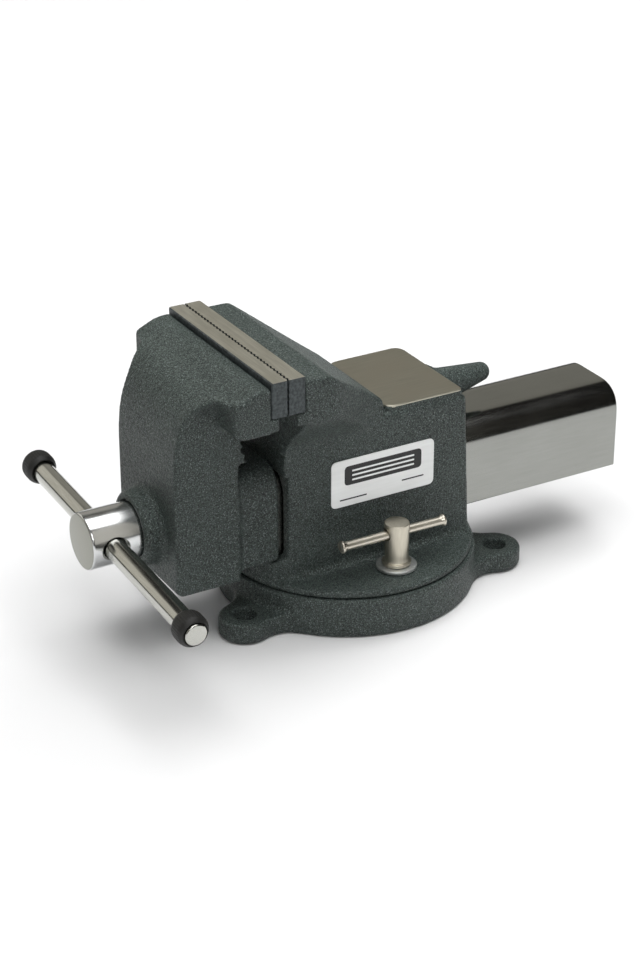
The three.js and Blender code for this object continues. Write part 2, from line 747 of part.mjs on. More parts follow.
function slideBar() {

	const bar = alongY( barOutline(), BAR_FRONT, BAR_BACK );
	const half = CHANNEL_WIDTH / 2;
	const channel = alongY( roundedOutline( [
		[ - half, BAR_BOTTOM - 1 ],
		[ half, BAR_BOTTOM - 1 ],
		[ half, CHANNEL_TOP, BAR_CORNER ],
		[ - half, CHANNEL_TOP, BAR_CORNER ]
	] ), BAR_FRONT - 1, BAR_BACK + 1 );
	const pinHoles = barPinPlaces().map( ( y ) => rodAlongX( y, BAR_PIN_Z, boreRadius( BAR_PIN_RADIUS ),
		- BAR_WIDTH, BAR_WIDTH, BORE_SIDES ) );
	return bar.subtract( allOf( [ channel, ...pinHoles ] ) );

}

function barPin( y ) {

	return rodAlongX( y, BAR_PIN_Z, BAR_PIN_RADIUS, - MOVING_WIDTH / 2 + 0.8, barPinEnd(), 20 );

}

// ---- spindle, its nut and its handle --------------------------------------------------------------

function spindle() {

	const chamfer = 1;
	const screw = turnedAlongY( [
		[ 0, SPINDLE_FACE ],
		[ SPINDLE_HEAD_RADIUS - chamfer, SPINDLE_FACE ],
		[ SPINDLE_HEAD_RADIUS, SPINDLE_FACE + chamfer ],
		[ SPINDLE_HEAD_RADIUS, SPINDLE_SHOULDER ],
		[ SPINDLE_RADIUS, SPINDLE_SHOULDER ],
		[ SPINDLE_RADIUS, SPINDLE_END - 2 ],
		[ SPINDLE_RADIUS - 2, SPINDLE_END ],
		[ 0, SPINDLE_END ]
	], 0, SPINDLE_HEIGHT );
	const eye = tommyPlaced( rodAlongX( 0, 0, boreRadius( TOMMY_RADIUS, SLIDING_FIT ), - 30, 30, BORE_SIDES ) );
	const pinHole = rodAlongX( collarPinY(), SPINDLE_HEIGHT, boreRadius( COLLAR_PIN_RADIUS ), - 30, 30,
		BORE_SIDES );
	return screw.subtract( allOf( [ eye, pinHole ] ) );

}

/** Carries a solid drawn along X at the origin to the handle's place, tilted as the handle is. */
function tommyPlaced( solid ) {

	return solid.rotate( [ 0, TOMMY_TILT, 0 ] ).translate( [ 0, TOMMY_Y, SPINDLE_HEIGHT ] );

}

function tommyBar() {

	const from = TOMMY_SHIFT - TOMMY_LENGTH / 2;
	const geometry = new THREE.LatheGeometry( [
		new THREE.Vector2( 0, from ),
		new THREE.Vector2( TOMMY_RADIUS - 0.8, from ),
		new THREE.Vector2( TOMMY_RADIUS, from + 0.8 ),
		new THREE.Vector2( TOMMY_RADIUS, from + TOMMY_LENGTH - 0.8 ),
		new THREE.Vector2( TOMMY_RADIUS - 0.8, from + TOMMY_LENGTH ),
		new THREE.Vector2( 0, from + TOMMY_LENGTH )
	], SIDES );
	return tommyPlaced( solidOf( geometry.rotateZ( - Math.PI / 2 ) ) );

}

/** A ring pressed on the handle; side is -1 for its left end and 1 for its right end. */
function tommyCap( side ) {

	const end = TOMMY_SHIFT + side * TOMMY_LENGTH / 2;
	const outer = end - side * CAP_FROM_END;
	const inner = outer - side * CAP_LENGTH;
	const x0 = Math.min( outer, inner );
	const x1 = Math.max( outer, inner );
	const bore = boreRadius( TOMMY_RADIUS, 0.15 );
	const profile = [
		[ bore, x0 ],
		[ CAP_RADIUS - 1.5, x0 ],
		[ CAP_RADIUS, x0 + 1.8 ],
		[ CAP_RADIUS, x1 - 1.8 ],
		[ CAP_RADIUS - 1.5, x1 ],
		[ bore, x1 ],
		[ bore, x0 ]
	].map( ( [ radius, x ] ) => new THREE.Vector2( radius, x ) );
	const geometry = new THREE.LatheGeometry( profile, BORE_SIDES );
	return tommyPlaced( solidOf( geometry.rotateZ( - Math.PI / 2 ) ) );

}

function ringAlongY( inner, outer, y0, y1, z ) {

	return turnedAlongY( [
		[ inner, y0 ],
		[ outer, y0 ],
		[ outer, y1 ],
		[ inner, y1 ],
		[ inner, y0 ]
	], 0, z, BORE_SIDES );

}

function thrustWasher() {

	const front = SPINDLE_SHOULDER + FIT;
	return ringAlongY( boreRadius( SPINDLE_RADIUS ), SPINDLE_HEAD_RADIUS, front,
		front + THRUST_WASHER_THICKNESS, SPINDLE_HEIGHT );

}

function collarPinY() {

	return COLLAR_FRONT + COLLAR_LENGTH / 2;

}

function spindleCollar() {

	const collar = ringAlongY( boreRadius( SPINDLE_RADIUS ), COLLAR_RADIUS, COLLAR_FRONT,
		COLLAR_FRONT + COLLAR_LENGTH, SPINDLE_HEIGHT );
	return collar.subtract( rodAlongX( collarPinY(), SPINDLE_HEIGHT, boreRadius( COLLAR_PIN_RADIUS ),
		- 30, 30, BORE_SIDES ) );

}

function collarPin() {

	return rodAlongX( collarPinY(), SPINDLE_HEIGHT, COLLAR_PIN_RADIUS, 0.4 - COLLAR_RADIUS,
		COLLAR_RADIUS - 0.4, 20 );

}

function leadNut() {

	const bottom = TUNNEL_FLOOR + FIT;
	const outline = new THREE.Shape();
	outline.moveTo( - NUT_RADIUS, bottom );
	outline.lineTo( NUT_RADIUS, bottom );
	outline.absarc( 0, SPINDLE_HEIGHT, NUT_RADIUS, 0, Math.PI, false );
	outline.closePath();
	const nut = alongY( outline, NUT_FRONT, NUT_FRONT + NUT_LENGTH, 20 );
	const bore = rodAlongY( 0, SPINDLE_HEIGHT, boreRadius( SPINDLE_RADIUS, SLIDING_FIT ), NUT_FRONT - 1,
		NUT_FRONT + NUT_LENGTH + 1, BORE_SIDES );
	const boltHole = rodAlongZ( 0, nutBoltY(), boreRadius( NUT_BOLT_RADIUS ), bottom - 1, nutBoltTop() + FIT,
		BORE_SIDES );
	return nut.subtract( bore.add( boltHole ) );

}

function nutBoltTop() {

	return SPINDLE_HEIGHT - SPINDLE_RADIUS - 2.5;

}

function nutBolt() {

	const seat = nutBoltSeat() - FIT;
	const head = turned( [
		[ 0, seat - NUT_BOLT_HEAD ],
		[ NUT_BOLT_HEAD_RADIUS, seat - NUT_BOLT_HEAD ],
		[ NUT_BOLT_HEAD_RADIUS, seat ],
		[ NUT_BOLT_RADIUS, seat ],
		[ NUT_BOLT_RADIUS, nutBoltTop() ],
		[ 0, nutBoltTop() ]
	], 24 );
	const socket = new THREE.CylinderGeometry( 3.4, 3.4, 6, 6 ).rotateX( Math.PI / 2 );
	socket.translate( 0, 0, seat - NUT_BOLT_HEAD );
	return head.subtract( solidOf( socket ) ).translate( [ 0, nutBoltY(), 0 ] );

}

// ---- swivel locks: a screw with a sliding bar, a washer and a nut in the T-slot ---------------------

function lockScrew() {

	const tip = CLAMP_NUT_Z + 1;
	const screw = turned( [
		[ 0, tip ],
		[ LOCK_SCREW_RADIUS - 1, tip ],
		[ LOCK_SCREW_RADIUS, tip + 1 ],
		[ LOCK_SCREW_RADIUS, LOCK_HEAD_BOTTOM ],
		[ LOCK_COLLAR_RADIUS, LOCK_HEAD_BOTTOM ],
		[ LOCK_COLLAR_RADIUS, LOCK_HEAD_BOTTOM + LOCK_COLLAR_HEIGHT ],
		[ LOCK_FOOT_RADIUS, LOCK_HEAD_BOTTOM + LOCK_COLLAR_HEIGHT ],
		[ LOCK_HEAD_RADIUS, LOCK_HEAD_TOP - 2 ],
		[ LOCK_HEAD_RADIUS - 0.8, LOCK_HEAD_TOP ],
		[ 0, LOCK_HEAD_TOP ]
	], 24 );
	const eye = rodAlongY( 0, LOCK_BAR_Z, boreRadius( LOCK_BAR_RADIUS, SLIDING_FIT ), - 20, 20, BORE_SIDES );
	return screw.subtract( eye );

}

function lockBar() {

	const half = LOCK_BAR_LENGTH / 2;
	const neck = half - LOCK_BAR_END_LENGTH;
	return turnedAlongY( [
		[ 0, - half ],
		[ LOCK_BAR_END_RADIUS, - half ],
		[ LOCK_BAR_END_RADIUS, 0.8 - half ],
		[ LOCK_BAR_RADIUS, - neck ],
		[ LOCK_BAR_RADIUS, neck ],
		[ LOCK_BAR_END_RADIUS, half - 0.8 ],
		[ LOCK_BAR_END_RADIUS, half ],
		[ 0, half ]
	], 0, LOCK_BAR_Z, 16 );

}

function lockWasher() {

	const bore = boreRadius( LOCK_SCREW_RADIUS, SLIDING_FIT );
	return turned( [
		[ bore, LOCK_WASHER_Z ],
		[ WASHER_RADIUS, LOCK_WASHER_Z ],
		[ WASHER_RADIUS, LOCK_WASHER_Z + WASHER_THICKNESS ],
		[ bore, LOCK_WASHER_Z + WASHER_THICKNESS ],
		[ bore, LOCK_WASHER_Z ]
	], BORE_SIDES );

}

function clampNut() {

	const radial = CLAMP_NUT_RADIAL / 2;
	const along = CLAMP_NUT_ALONG / 2;
	const block = box( - radial, radial, - along, along, CLAMP_NUT_Z, CLAMP_NUT_Z + CLAMP_NUT_HEIGHT );
	return block.subtract( rodAlongZ( 0, 0, boreRadius( LOCK_SCREW_RADIUS ), 0, 40, BORE_SIDES ) );

}

// ---- label plate ------------------------------------------------------------------------------

function labelPlate() {

	const outline = roundedRectangle(
		LABEL_MIDDLE_Y - LABEL_LENGTH / 2, LABEL_MIDDLE_Z - LABEL_HEIGHT / 2,
		LABEL_MIDDLE_Y + LABEL_LENGTH / 2, LABEL_MIDDLE_Z + LABEL_HEIGHT / 2, LABEL_CORNER );
	const wall = BODY_WIDTH / 2 + 0.1;
	return alongX( outline, wall, wall + LABEL_THICKNESS, 4 );

}

// ---- materials --------------------------------------------------------------------------------

function material( color, roughness, metalness ) {

	return new THREE.MeshStandardMaterial( { color, roughness, metalness } );

}

const castingPaint = () => material( 0x3b4344, 0.62, 0.2 );
const groundSteel = () => material( 0x8f8a80, 0.38, 1 );
const brightSteel = () => material( 0xc9cbcc, 0.16, 1 );
const darkSteel = () => material( 0x4a4b4d, 0.45, 1 );
const nickel = () => material( 0xb9b2a6, 0.3, 1 );
const zinc = () => material( 0x9da1a4, 0.42, 1 );
const bareIron = () => material( 0x5c5a56, 0.5, 1 );
const rubber = () => material( 0x16181a, 0.75, 0 );
const foil = () => material( 0xd9dbd8, 0.35, 0.3 );

// ---- assembly ---------------------------------------------------------------------------------

const group = new THREE.Group();

/** Adds one solid as a mesh of its own. */
function add( name, solid, look, position = [ 0, 0, 0 ], parent = group ) {

	const { vertProperties, triVerts } = solid.getMesh();
	const geometry = new THREE.BufferGeometry();
	geometry.setAttribute( 'position', new THREE.BufferAttribute( new Float32Array( vertProperties ), 3 ) );
	geometry.setIndex( new THREE.BufferAttribute( new Uint32Array( triVerts ), 1 ) );
	geometry.computeVertexNormals();
	const mesh = new THREE.Mesh( geometry, look );
	mesh.name = name;
	mesh.position.set( ...position );
	parent.add( mesh );
	return mesh;

}

add( 'swivel_base', swivelBase(), castingPaint() );
add( 'vise_body', viseBody(), castingPaint() );
add( 'label_plate', labelPlate(), foil() );
add( 'moving_jaw', movingJaw(), castingPaint() );
add( 'slide_bar', slideBar(), brightSteel() );
add( 'static_jaw_plate', jawPlate(), groundSteel(), [ 0, STATIC_FACE, 0 ] );
add( 'moving_jaw_plate', jawPlate(), groundSteel(), [ 0, MOVING_FACE, 0 ] ).rotation.z = Math.PI;

plateScrewPlaces().forEach( ( x, i ) => {

	const side = [ 'left', 'right' ][ i ];
	add( `static_plate_screw_${ side }`, plateScrew(), darkSteel(), [ x, STATIC_FACE + 1, PLATE_MIDDLE ] );
	const screw = add( `moving_plate_screw_${ side }`, plateScrew(), darkSteel(),
		[ x, MOVING_FACE - 1, PLATE_MIDDLE ] );
	screw.rotation.z = Math.PI;

} );

barPinPlaces().forEach( ( y, i ) => {

	add( `slide_bar_pin_${ [ 'front', 'rear' ][ i ] }`, barPin( y ), darkSteel() );

} );

add( 'spindle', spindle(), brightSteel() );
add( 'thrust_washer', thrustWasher(), zinc() );
add( 'spindle_collar', spindleCollar(), darkSteel() );
add( 'collar_pin', collarPin(), darkSteel() );
add( 'lead_nut', leadNut(), bareIron() );
add( 'lead_nut_bolt', nutBolt(), darkSteel() );
add( 'tommy_bar', tommyBar(), brightSteel() );
add( 'tommy_cap_left', tommyCap( - 1 ), rubber() );
add( 'tommy_cap_right', tommyCap( 1 ), rubber() );

for ( const [ side, x ] of [ [ 'left', - LOCK_X ], [ 'right', LOCK_X ] ] ) {

	const lock = new THREE.Group();
	lock.position.set( x, LOCK_Y, 0 );
	group.add( lock );
	add( `lock_washer_${ side }`, lockWasher(), zinc(), [ 0, 0, 0 ], lock );
	add( `lock_screw_${ side }`, lockScrew(), nickel(), [ 0, 0, 0 ], lock );
	add( `lock_bar_${ side }`, lockBar(), nickel(), [ 0, LOCK_BAR_SHIFT, 0 ], lock );
	add( `clamp_nut_${ side }`, clampNut(), darkSteel(), [ 0, 0, 0 ], lock );

}

export default group;
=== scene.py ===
"""Looks of the bench vise: fine castings, machined and plated parts, soft studio light."""
import math

import bmesh
import bpy
import numpy as np
from mathutils import Matrix, Vector


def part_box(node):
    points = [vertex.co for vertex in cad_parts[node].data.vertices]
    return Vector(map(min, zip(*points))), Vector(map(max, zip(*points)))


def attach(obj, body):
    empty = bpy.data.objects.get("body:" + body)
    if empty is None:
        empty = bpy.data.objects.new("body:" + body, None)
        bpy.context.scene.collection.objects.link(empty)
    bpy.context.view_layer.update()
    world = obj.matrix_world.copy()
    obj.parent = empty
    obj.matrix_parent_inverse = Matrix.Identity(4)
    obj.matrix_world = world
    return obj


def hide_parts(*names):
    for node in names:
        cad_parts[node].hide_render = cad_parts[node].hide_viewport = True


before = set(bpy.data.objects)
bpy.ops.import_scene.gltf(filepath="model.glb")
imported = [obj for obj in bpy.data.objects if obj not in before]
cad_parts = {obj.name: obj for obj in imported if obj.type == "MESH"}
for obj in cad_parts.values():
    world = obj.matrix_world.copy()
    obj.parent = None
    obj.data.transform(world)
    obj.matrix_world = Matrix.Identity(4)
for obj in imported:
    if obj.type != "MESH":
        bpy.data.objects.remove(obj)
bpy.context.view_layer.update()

MM = 0.001
STEP = 1.0  # spacing of the lattice that the castings are cut from, mm
DETAIL = 0.34  # share of a casting's faces kept


def place(node):
    """A CAD node's lowest and highest corner, in mm."""
    lo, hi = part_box(node)
    return np.array(lo) / MM, np.array(hi) / MM


# ---- sizes in mm, read off the frame where a node shows them ----

PLATE_LO, PLATE_HI = place("static_jaw_plate")
FRONT_PLATE_LO, FRONT_PLATE_HI = place("moving_jaw_plate")
JAW_LO, _ = place("moving_jaw")
BAR_LO, BAR_HI = place("slide_bar")
SPINDLE_LO, SPINDLE_HI = place("spindle")
WASHER_LO, WASHER_HI = place("lock_washer_right")
LABEL_LO, LABEL_HI = place("label_plate")

FIT = 0.3
SLIDING_FIT = 0.6
PLATE_STAND = 2.7
HALF_JAW = PLATE_HI[0]
CASTING_TOP = PLATE_HI[2] - PLATE_STAND
STATIC_FACE = PLATE_LO[1]
MOVING_FACE = FRONT_PLATE_HI[1]
STATIC_SEAT = PLATE_HI[1] + FIT
MOVING_SEAT = FRONT_PLATE_LO[1] - FIT
LIP_TOP = PLATE_LO[2] - FIT
LIP_HEIGHT = 6.5
LIP_BOTTOM = LIP_TOP - LIP_HEIGHT
LIP_DEPTH = 4.3
PLATE_MIDDLE = (PLATE_LO[2] + PLATE_HI[2]) / 2
SCREW_X = 31.0  # the plates' screws stand this far to each side
SCREW_HOLE = 3.4
SCREW_HOLE_DEPTH = 16.2

BASE_RADIUS = 62.5
BASE_HEIGHT = 19.0
LUG_CIRCLE = 74.0
LUG_RADIUS = 12.5
LUG_HEIGHT = 10.0
LUG_HOLE = 5.5
LUG_ANGLES = (-69, 69, 180)
SLOT_CIRCLE = 43.0
SLOT_WIDTH = 11.0
UNDERCUT_WIDTH = 18.0
SLOT_FLOOR = 4.0
UNDERCUT_TOP = 12.5
ENTRY_RADIUS = 10.5  # of the hole that the clamp nuts go in through
ENTRY_TOP = 5.0
SOCKET_FLOOR = 6.0

FLANGE_RADIUS = 61.0
FLANGE_BOTTOM = BASE_HEIGHT + FIT
FLANGE_THICKNESS = 3.5
FLANGE_TOP = FLANGE_BOTTOM + FLANGE_THICKNESS
SPIGOT_RADIUS = 24.0
SPIGOT_BOTTOM = 6.4
HALF_BODY = 29.5
BODY_FRONT = -47.0
BODY_BACK = 52.0
BACK_SLOPE = 3.5
ANVIL_TOP = 98.8
ANVIL_BASE = 95.3
ANVIL_FRONT = 4.5
ANVIL_BACK = 47.0
HALF_ANVIL = 28.8
GROUND_DEPTH = 0.4  # the ground face stands on the casting by this
NUT_BOLT_Y = -9.0
NUT_BOLT_HOLE = 4.4
NUT_BOLT_SEAT = 7.9
NUT_BOLT_SEAT_TOP = 15.6
HORN_HEIGHT = 88.0
HORN_ROOT_RADIUS = 10.5
HORN_TIP_RADIUS = 4.8
HORN_REACH = 28.0
HORN_RISE = math.radians(5.5)
BED_FRONT = -60.0

HALF_BAR = BAR_HI[0]
BAR_BOTTOM = BAR_LO[2]
BAR_TOP = BAR_HI[2]
BAR_CORNER = 14.4
HALF_CHANNEL = 17.2
CHANNEL_TOP = 69.0
BAR_PINS = (-88.7, -74.7)  # places along Y
BAR_PIN_HOLE = 2.9
BAR_PIN_END = 25.2
BAR_PIN_Z = 37.0

HALF_TOWER = 29.0
HEAD_BLEND = 4.0
HEAD_CHAMFER = 5.0
FLARE_RADIUS = 15.0
TOWER_FRONT = -104.5
TOWER_BACK = -72.0
TOWER_BOTTOM = 28.5
TOWER_SHOULDER = 127.5
HEAD_DEPTH = 17.5
HEAD_HEIGHT = 22.0
POCKET_FRONT = -97.0
HALF_NECK = 27.0
NECK_TOP = 81.0
NECK_BACK = -51.0
BOSS_RADIUS = 18.0
BOSS_FRONT = JAW_LO[1]

SCREW_Z = 53.5
SCREW_RADIUS = 10.0
HEAD_RADIUS = 13.5
SHOULDER = BOSS_FRONT + 1.8
BORE_END = -90.0
SEAT_DEPTH = 4.6  # of the counterbore for the washer and the head
JOURNAL_END = -84.0
THREAD_START = -83.9
COLLAR_PIN_Y = -92.2
COLLAR_PIN_HOLE = 2.35
TOMMY_RADIUS = 5.2
TOMMY_Y = -126.7
TOMMY_TILT = math.radians(3.4)
TOMMY_FROM = -78.0
TOMMY_TO = 92.0
CAP_RADIUS = 7.7
CAP_LENGTH = 10.5
CAP_SETBACK = 1.1

LOCK_X = (WASHER_LO[0] + WASHER_HI[0]) / 2
LOCK_Y = (WASHER_LO[1] + WASHER_HI[1]) / 2
LOCK_HOLE = 5.1
LOCK_SCREW_RADIUS = 4.5
LOCK_HEAD_RADIUS = 6.0
LOCK_COLLAR_RADIUS = 7.0
LOCK_COLLAR_HEIGHT = 1.6
LOCK_BAR_Z = 41.0
LOCK_BAR_SHIFT = -2.2
LOCK_BAR_HALF = 28.0
LOCK_BAR_RADIUS = 2.2
LOCK_BAR_END = 3.1
LOCK_EYE = 2.75
LOCK_TOP = 46.5
WASHER_RADIUS = 9.7
ABOVE_FLANGE = 30.0  # the lock holes are cut up to here
TUNNEL_INSIDE = 40.0  # the hole for the nut's bolt is cut up to here


# ---- outlines ----

def rounded(corners, steps=8):
    """A closed outline through corners (u, v, tangent length), as a list of points."""
    points = []
    for i, (u, v, tangent) in enumerate(corners):
        here = np.array((u, v), float)
        if not tangent:
            points.append((u, v))
            continue
        before = np.array(corners[i - 1][:2], float) - here
        after = np.array(corners[(i + 1) % len(corners)][:2], float) - here
        start = here + before / np.linalg.norm(before) * tangent
        end = here + after / np.linalg.norm(after) * tangent
        for t in np.linspace(0, 1, steps + 1):
            points.append(tuple((1 - t) ** 2 * start + 2 * t * (1 - t) * here + t * t * end))
    return points


def bezier(a, b, c, d, steps=12):
    """Points on a cubic curve, without its first."""
    a, b, c, d = (np.array(p, float) for p in (a, b, c, d))
    return [tuple((1 - t) ** 3 * a + 3 * t * (1 - t) ** 2 * b + 3 * t * t * (1 - t) * c + t ** 3 * d)
            for t in np.linspace(0, 1, steps + 1)[1:]]


def bar_outline(grow=0.0):
    """Half section of the slide bar in (|x|, z)."""
    return rounded([(-10, BAR_BOTTOM - grow, 0), (HALF_BAR + grow, BAR_BOTTOM - grow, 0),
                    (HALF_BAR + grow, BAR_TOP + grow, BAR_CORNER + grow), (-10, BAR_TOP + grow, 0)], 14)


# ---- signed distances on a lattice, in mm, negative inside ----

def lattice(lo, hi):
    axes = [np.arange(a - 2.5 * STEP, b + 3 * STEP, STEP, dtype=np.float32) for a, b in zip(lo, hi)]
    return axes[0][:, None, None], axes[1][None, :, None], axes[2][None, None, :]


def polygon(u, v, points):
    u, v = np.broadcast_arrays(u, v)
    near = np.full(u.shape, 1e9, np.float32)
    inside = np.zeros(u.shape, bool)
    for (u0, v0), (u1, v1) in zip(points, points[1:] + points[:1]):
        eu, ev = u1 - u0, v1 - v0
        if eu == 0 and ev == 0:
            continue
        wu, wv = u - u0, v - v0
        t = np.clip((wu * eu + wv * ev) / (eu * eu + ev * ev), 0, 1)
        near = np.minimum(near, (wu - t * eu) ** 2 + (wv - t * ev) ** 2)
        if ev:
            inside ^= ((v0 > v) != (v1 > v)) & (wu < wv * eu / ev)
    return np.where(inside, -np.sqrt(near), np.sqrt(near)).astype(np.float32)


def both(a, b, radius=0.0):
    """Where a and b overlap, with its outer edge rounded."""
    if not radius:
        return np.maximum(a, b)
    u = np.maximum(radius + a, 0)
    v = np.maximum(radius + b, 0)
    return np.minimum(-radius, np.maximum(a, b)) + np.sqrt(u * u + v * v)


def joined(a, b, radius=0.0):
    """a and b together, with a fillet between them."""
    if not radius:
        return np.minimum(a, b)
    u = np.maximum(radius - a, 0)
    v = np.maximum(radius - b, 0)
    return np.maximum(radius, np.minimum(a, b)) - np.sqrt(u * u + v * v)


def span(w, w0, w1):
    return np.abs(w - (w0 + w1) / 2) - (w1 - w0) / 2


def rod(u, v, radius):
    return np.sqrt(u * u + v * v) - radius


def cut(solid, *holes, edge=0.0):
    for hole in holes:
        solid = both(solid, -hole, edge)
    return solid


def base_field(x, y, z):
    radius = np.sqrt(x * x + y * y)
    ring = both(radius - BASE_RADIUS, span(z, 0, BASE_HEIGHT), 1.0)
    plan = radius - BASE_RADIUS + 1.5
    holes = []
    for angle in LUG_ANGLES:
        c, s = math.cos(math.radians(angle)), math.sin(math.radians(angle))
        along, across = x * c + y * s, -x * s + y * c
        reach = np.clip(along, 0, LUG_CIRCLE)
        lug = np.sqrt((along - reach) ** 2 + across ** 2) - LUG_RADIUS
        plan = joined(plan, lug, 13)
        holes.append(both(rod(along - LUG_CIRCLE, across, LUG_HOLE), -along))
    lugs = both(plan, span(z, 0, LUG_HEIGHT), 1.8)
    solid = joined(ring, lugs, 2.6)
    solid = cut(solid, *holes, edge=1.0)
    neck = span(radius, SLOT_CIRCLE - SLOT_WIDTH / 2, SLOT_CIRCLE + SLOT_WIDTH / 2)
    undercut = span(radius, SLOT_CIRCLE - UNDERCUT_WIDTH / 2, SLOT_CIRCLE + UNDERCUT_WIDTH / 2)
    slot = joined(both(neck, UNDERCUT_TOP - 0.5 - z), both(undercut, span(z, SLOT_FLOOR, UNDERCUT_TOP)))
    socket = both(radius - (SPIGOT_RADIUS + SLIDING_FIT), SOCKET_FLOOR - z)
    entry = both(rod(x, y - SLOT_CIRCLE, ENTRY_RADIUS), z - ENTRY_TOP)
    return cut(solid, slot, socket, entry)


def gusset(half, inner, bottom):
    return rounded([(-10, bottom, 0), (inner, bottom, 0), (inner, LIP_BOTTOM - 20, 10),
                    (half, LIP_BOTTOM, 3), (half, CASTING_TOP, 0), (-10, CASTING_TOP, 0)])


def pipe_teeth(root, sign):
    top, pitch, count = LIP_BOTTOM - 1, 4.4, 5
    points = [(root - sign * 3, top), (root, top)]
    for i in range(count + 1):
        reach = 2 + 4 * abs(i / count - 0.5) * 2
        points.append((root + sign * reach, top - i * pitch))
        if i < count:
            points.append((root + sign * (reach - 1.6), top - (i + 0.5) * pitch))
    return points + [(root, top - count * pitch), (root - sign * 3, top - count * pitch)]


def anvil_outline(inset):
    """The anvil's plan; its far rear corner is ground rounder than the near one."""
    near, far = HALF_ANVIL - inset, inset - HALF_ANVIL
    front, back = ANVIL_FRONT + inset, ANVIL_BACK - inset
    return rounded([(near, front, 8), (near, back, 3), (far, back, 6), (far, front, 8)])


def body_field(x, y, z):
    ax = np.abs(x)
    radius = np.sqrt(x * x + y * y)
    flange = both(radius - FLANGE_RADIUS, span(z, FLANGE_BOTTOM, FLANGE_TOP), 1.0)
    spigot = both(radius - SPIGOT_RADIUS, span(z, SPIGOT_BOTTOM, FLANGE_BOTTOM + 1))
    back = BODY_BACK - BACK_SLOPE * (z - FLANGE_TOP) / (ANVIL_BASE - FLANGE_TOP)
    plan = both(ax - HALF_BODY, np.maximum(BODY_FRONT - y, y - back), 1.8)
    block = both(plan, span(z, FLANGE_BOTTOM + 1, ANVIL_BASE), 1.6)

    wing_back, flat_back, floor = ANVIL_FRONT - 0.7, STATIC_SEAT + 12.5, ANVIL_BASE - 20
    wing_plan = [(-10, STATIC_SEAT - 6), (HALF_JAW, STATIC_SEAT - 6), (HALF_JAW, flat_back)]
    wing_plan += bezier((HALF_JAW, flat_back), (HALF_JAW, flat_back + 11), (HALF_BODY, wing_back - 16),
                        (HALF_BODY, wing_back)) + [(-10, wing_back)]
    wing_side = rounded([(STATIC_SEAT - 6, floor, 0), (wing_back, floor, 0), (wing_back, ANVIL_TOP + 4, 4),
                         (flat_back, CASTING_TOP, 2), (STATIC_SEAT - 6, CASTING_TOP, 0)])
    wing = both(polygon(ax, y, wing_plan), polygon(y, z, wing_side), 1.4)
    wing = both(wing, polygon(ax, z, gusset(HALF_JAW, HALF_BODY, floor)), 1.6)
    solid = joined(block, wing)
    solid = both(solid, np.where(z > FLANGE_TOP + 20, STATIC_SEAT - y, -9))

    anvil = both(polygon(x, y, anvil_outline(0)), span(z, ANVIL_BASE - 12, ANVIL_TOP - GROUND_DEPTH), 0.6)
    solid = joined(solid, anvil, 1.2)

    cos, sin = math.cos(HORN_RISE), math.sin(HORN_RISE)
    along = (y - BODY_BACK) * cos + (z - HORN_HEIGHT) * sin
    across = (z - HORN_HEIGHT) * cos - (y - BODY_BACK) * sin
    tip = HORN_REACH - HORN_TIP_RADIUS
    horn = [(-2, -10), (HORN_ROOT_RADIUS, -10), (HORN_TIP_RADIUS, tip)]
    horn += [(HORN_TIP_RADIUS * math.cos(a), tip + HORN_TIP_RADIUS * math.sin(a))
             for a in np.linspace(0.2, math.pi / 2, 7)] + [(-2, HORN_REACH)]
    solid = joined(solid, polygon(np.sqrt(x * x + across * across), along, horn), 5)

    bed = both(both(ax - HALF_NECK, span(y, BED_FRONT, BODY_FRONT + 4), 2),
               span(z, FLANGE_BOTTOM + 1, BAR_BOTTOM - 0.6), 0.8)
    bed = both(bed, radius - FLANGE_RADIUS + 1, 1)
    foot = joined(joined(flange, spigot), bed, 1.5)
    solid = joined(solid, foot, 4.0)
    lip = both(both(span(y, STATIC_SEAT - LIP_DEPTH, STATIC_SEAT + 3), span(z, LIP_BOTTOM, LIP_TOP), 0.8),
               ax - HALF_JAW, 0.8)
    teeth = both(polygon(y, z, pipe_teeth(BODY_FRONT + 0.5, -1)), ax - HALF_BODY, 0.6)
    solid = joined(joined(solid, lip), teeth, 1.0)
    solid = both(solid, z - ANVIL_TOP + GROUND_DEPTH + np.where(y > wing_back + 0.3, 0, -60))

    tunnel = polygon(ax, z, bar_outline(SLIDING_FIT))
    solid = cut(solid, tunnel, edge=0.6)
    nut_bolt = both(rod(x, y - NUT_BOLT_Y, NUT_BOLT_HOLE), z - TUNNEL_INSIDE)
    nut_seat = both(rod(x, y - NUT_BOLT_Y, NUT_BOLT_SEAT), z - NUT_BOLT_SEAT_TOP)
    locks = both(rod(ax - LOCK_X, y - LOCK_Y, LOCK_HOLE), z - ABOVE_FLANGE)
    screws = both(rod(ax - SCREW_X, z - PLATE_MIDDLE, SCREW_HOLE), y - STATIC_FACE - SCREW_HOLE_DEPTH)
    return cut(solid, nut_bolt, nut_seat, locks, screws)


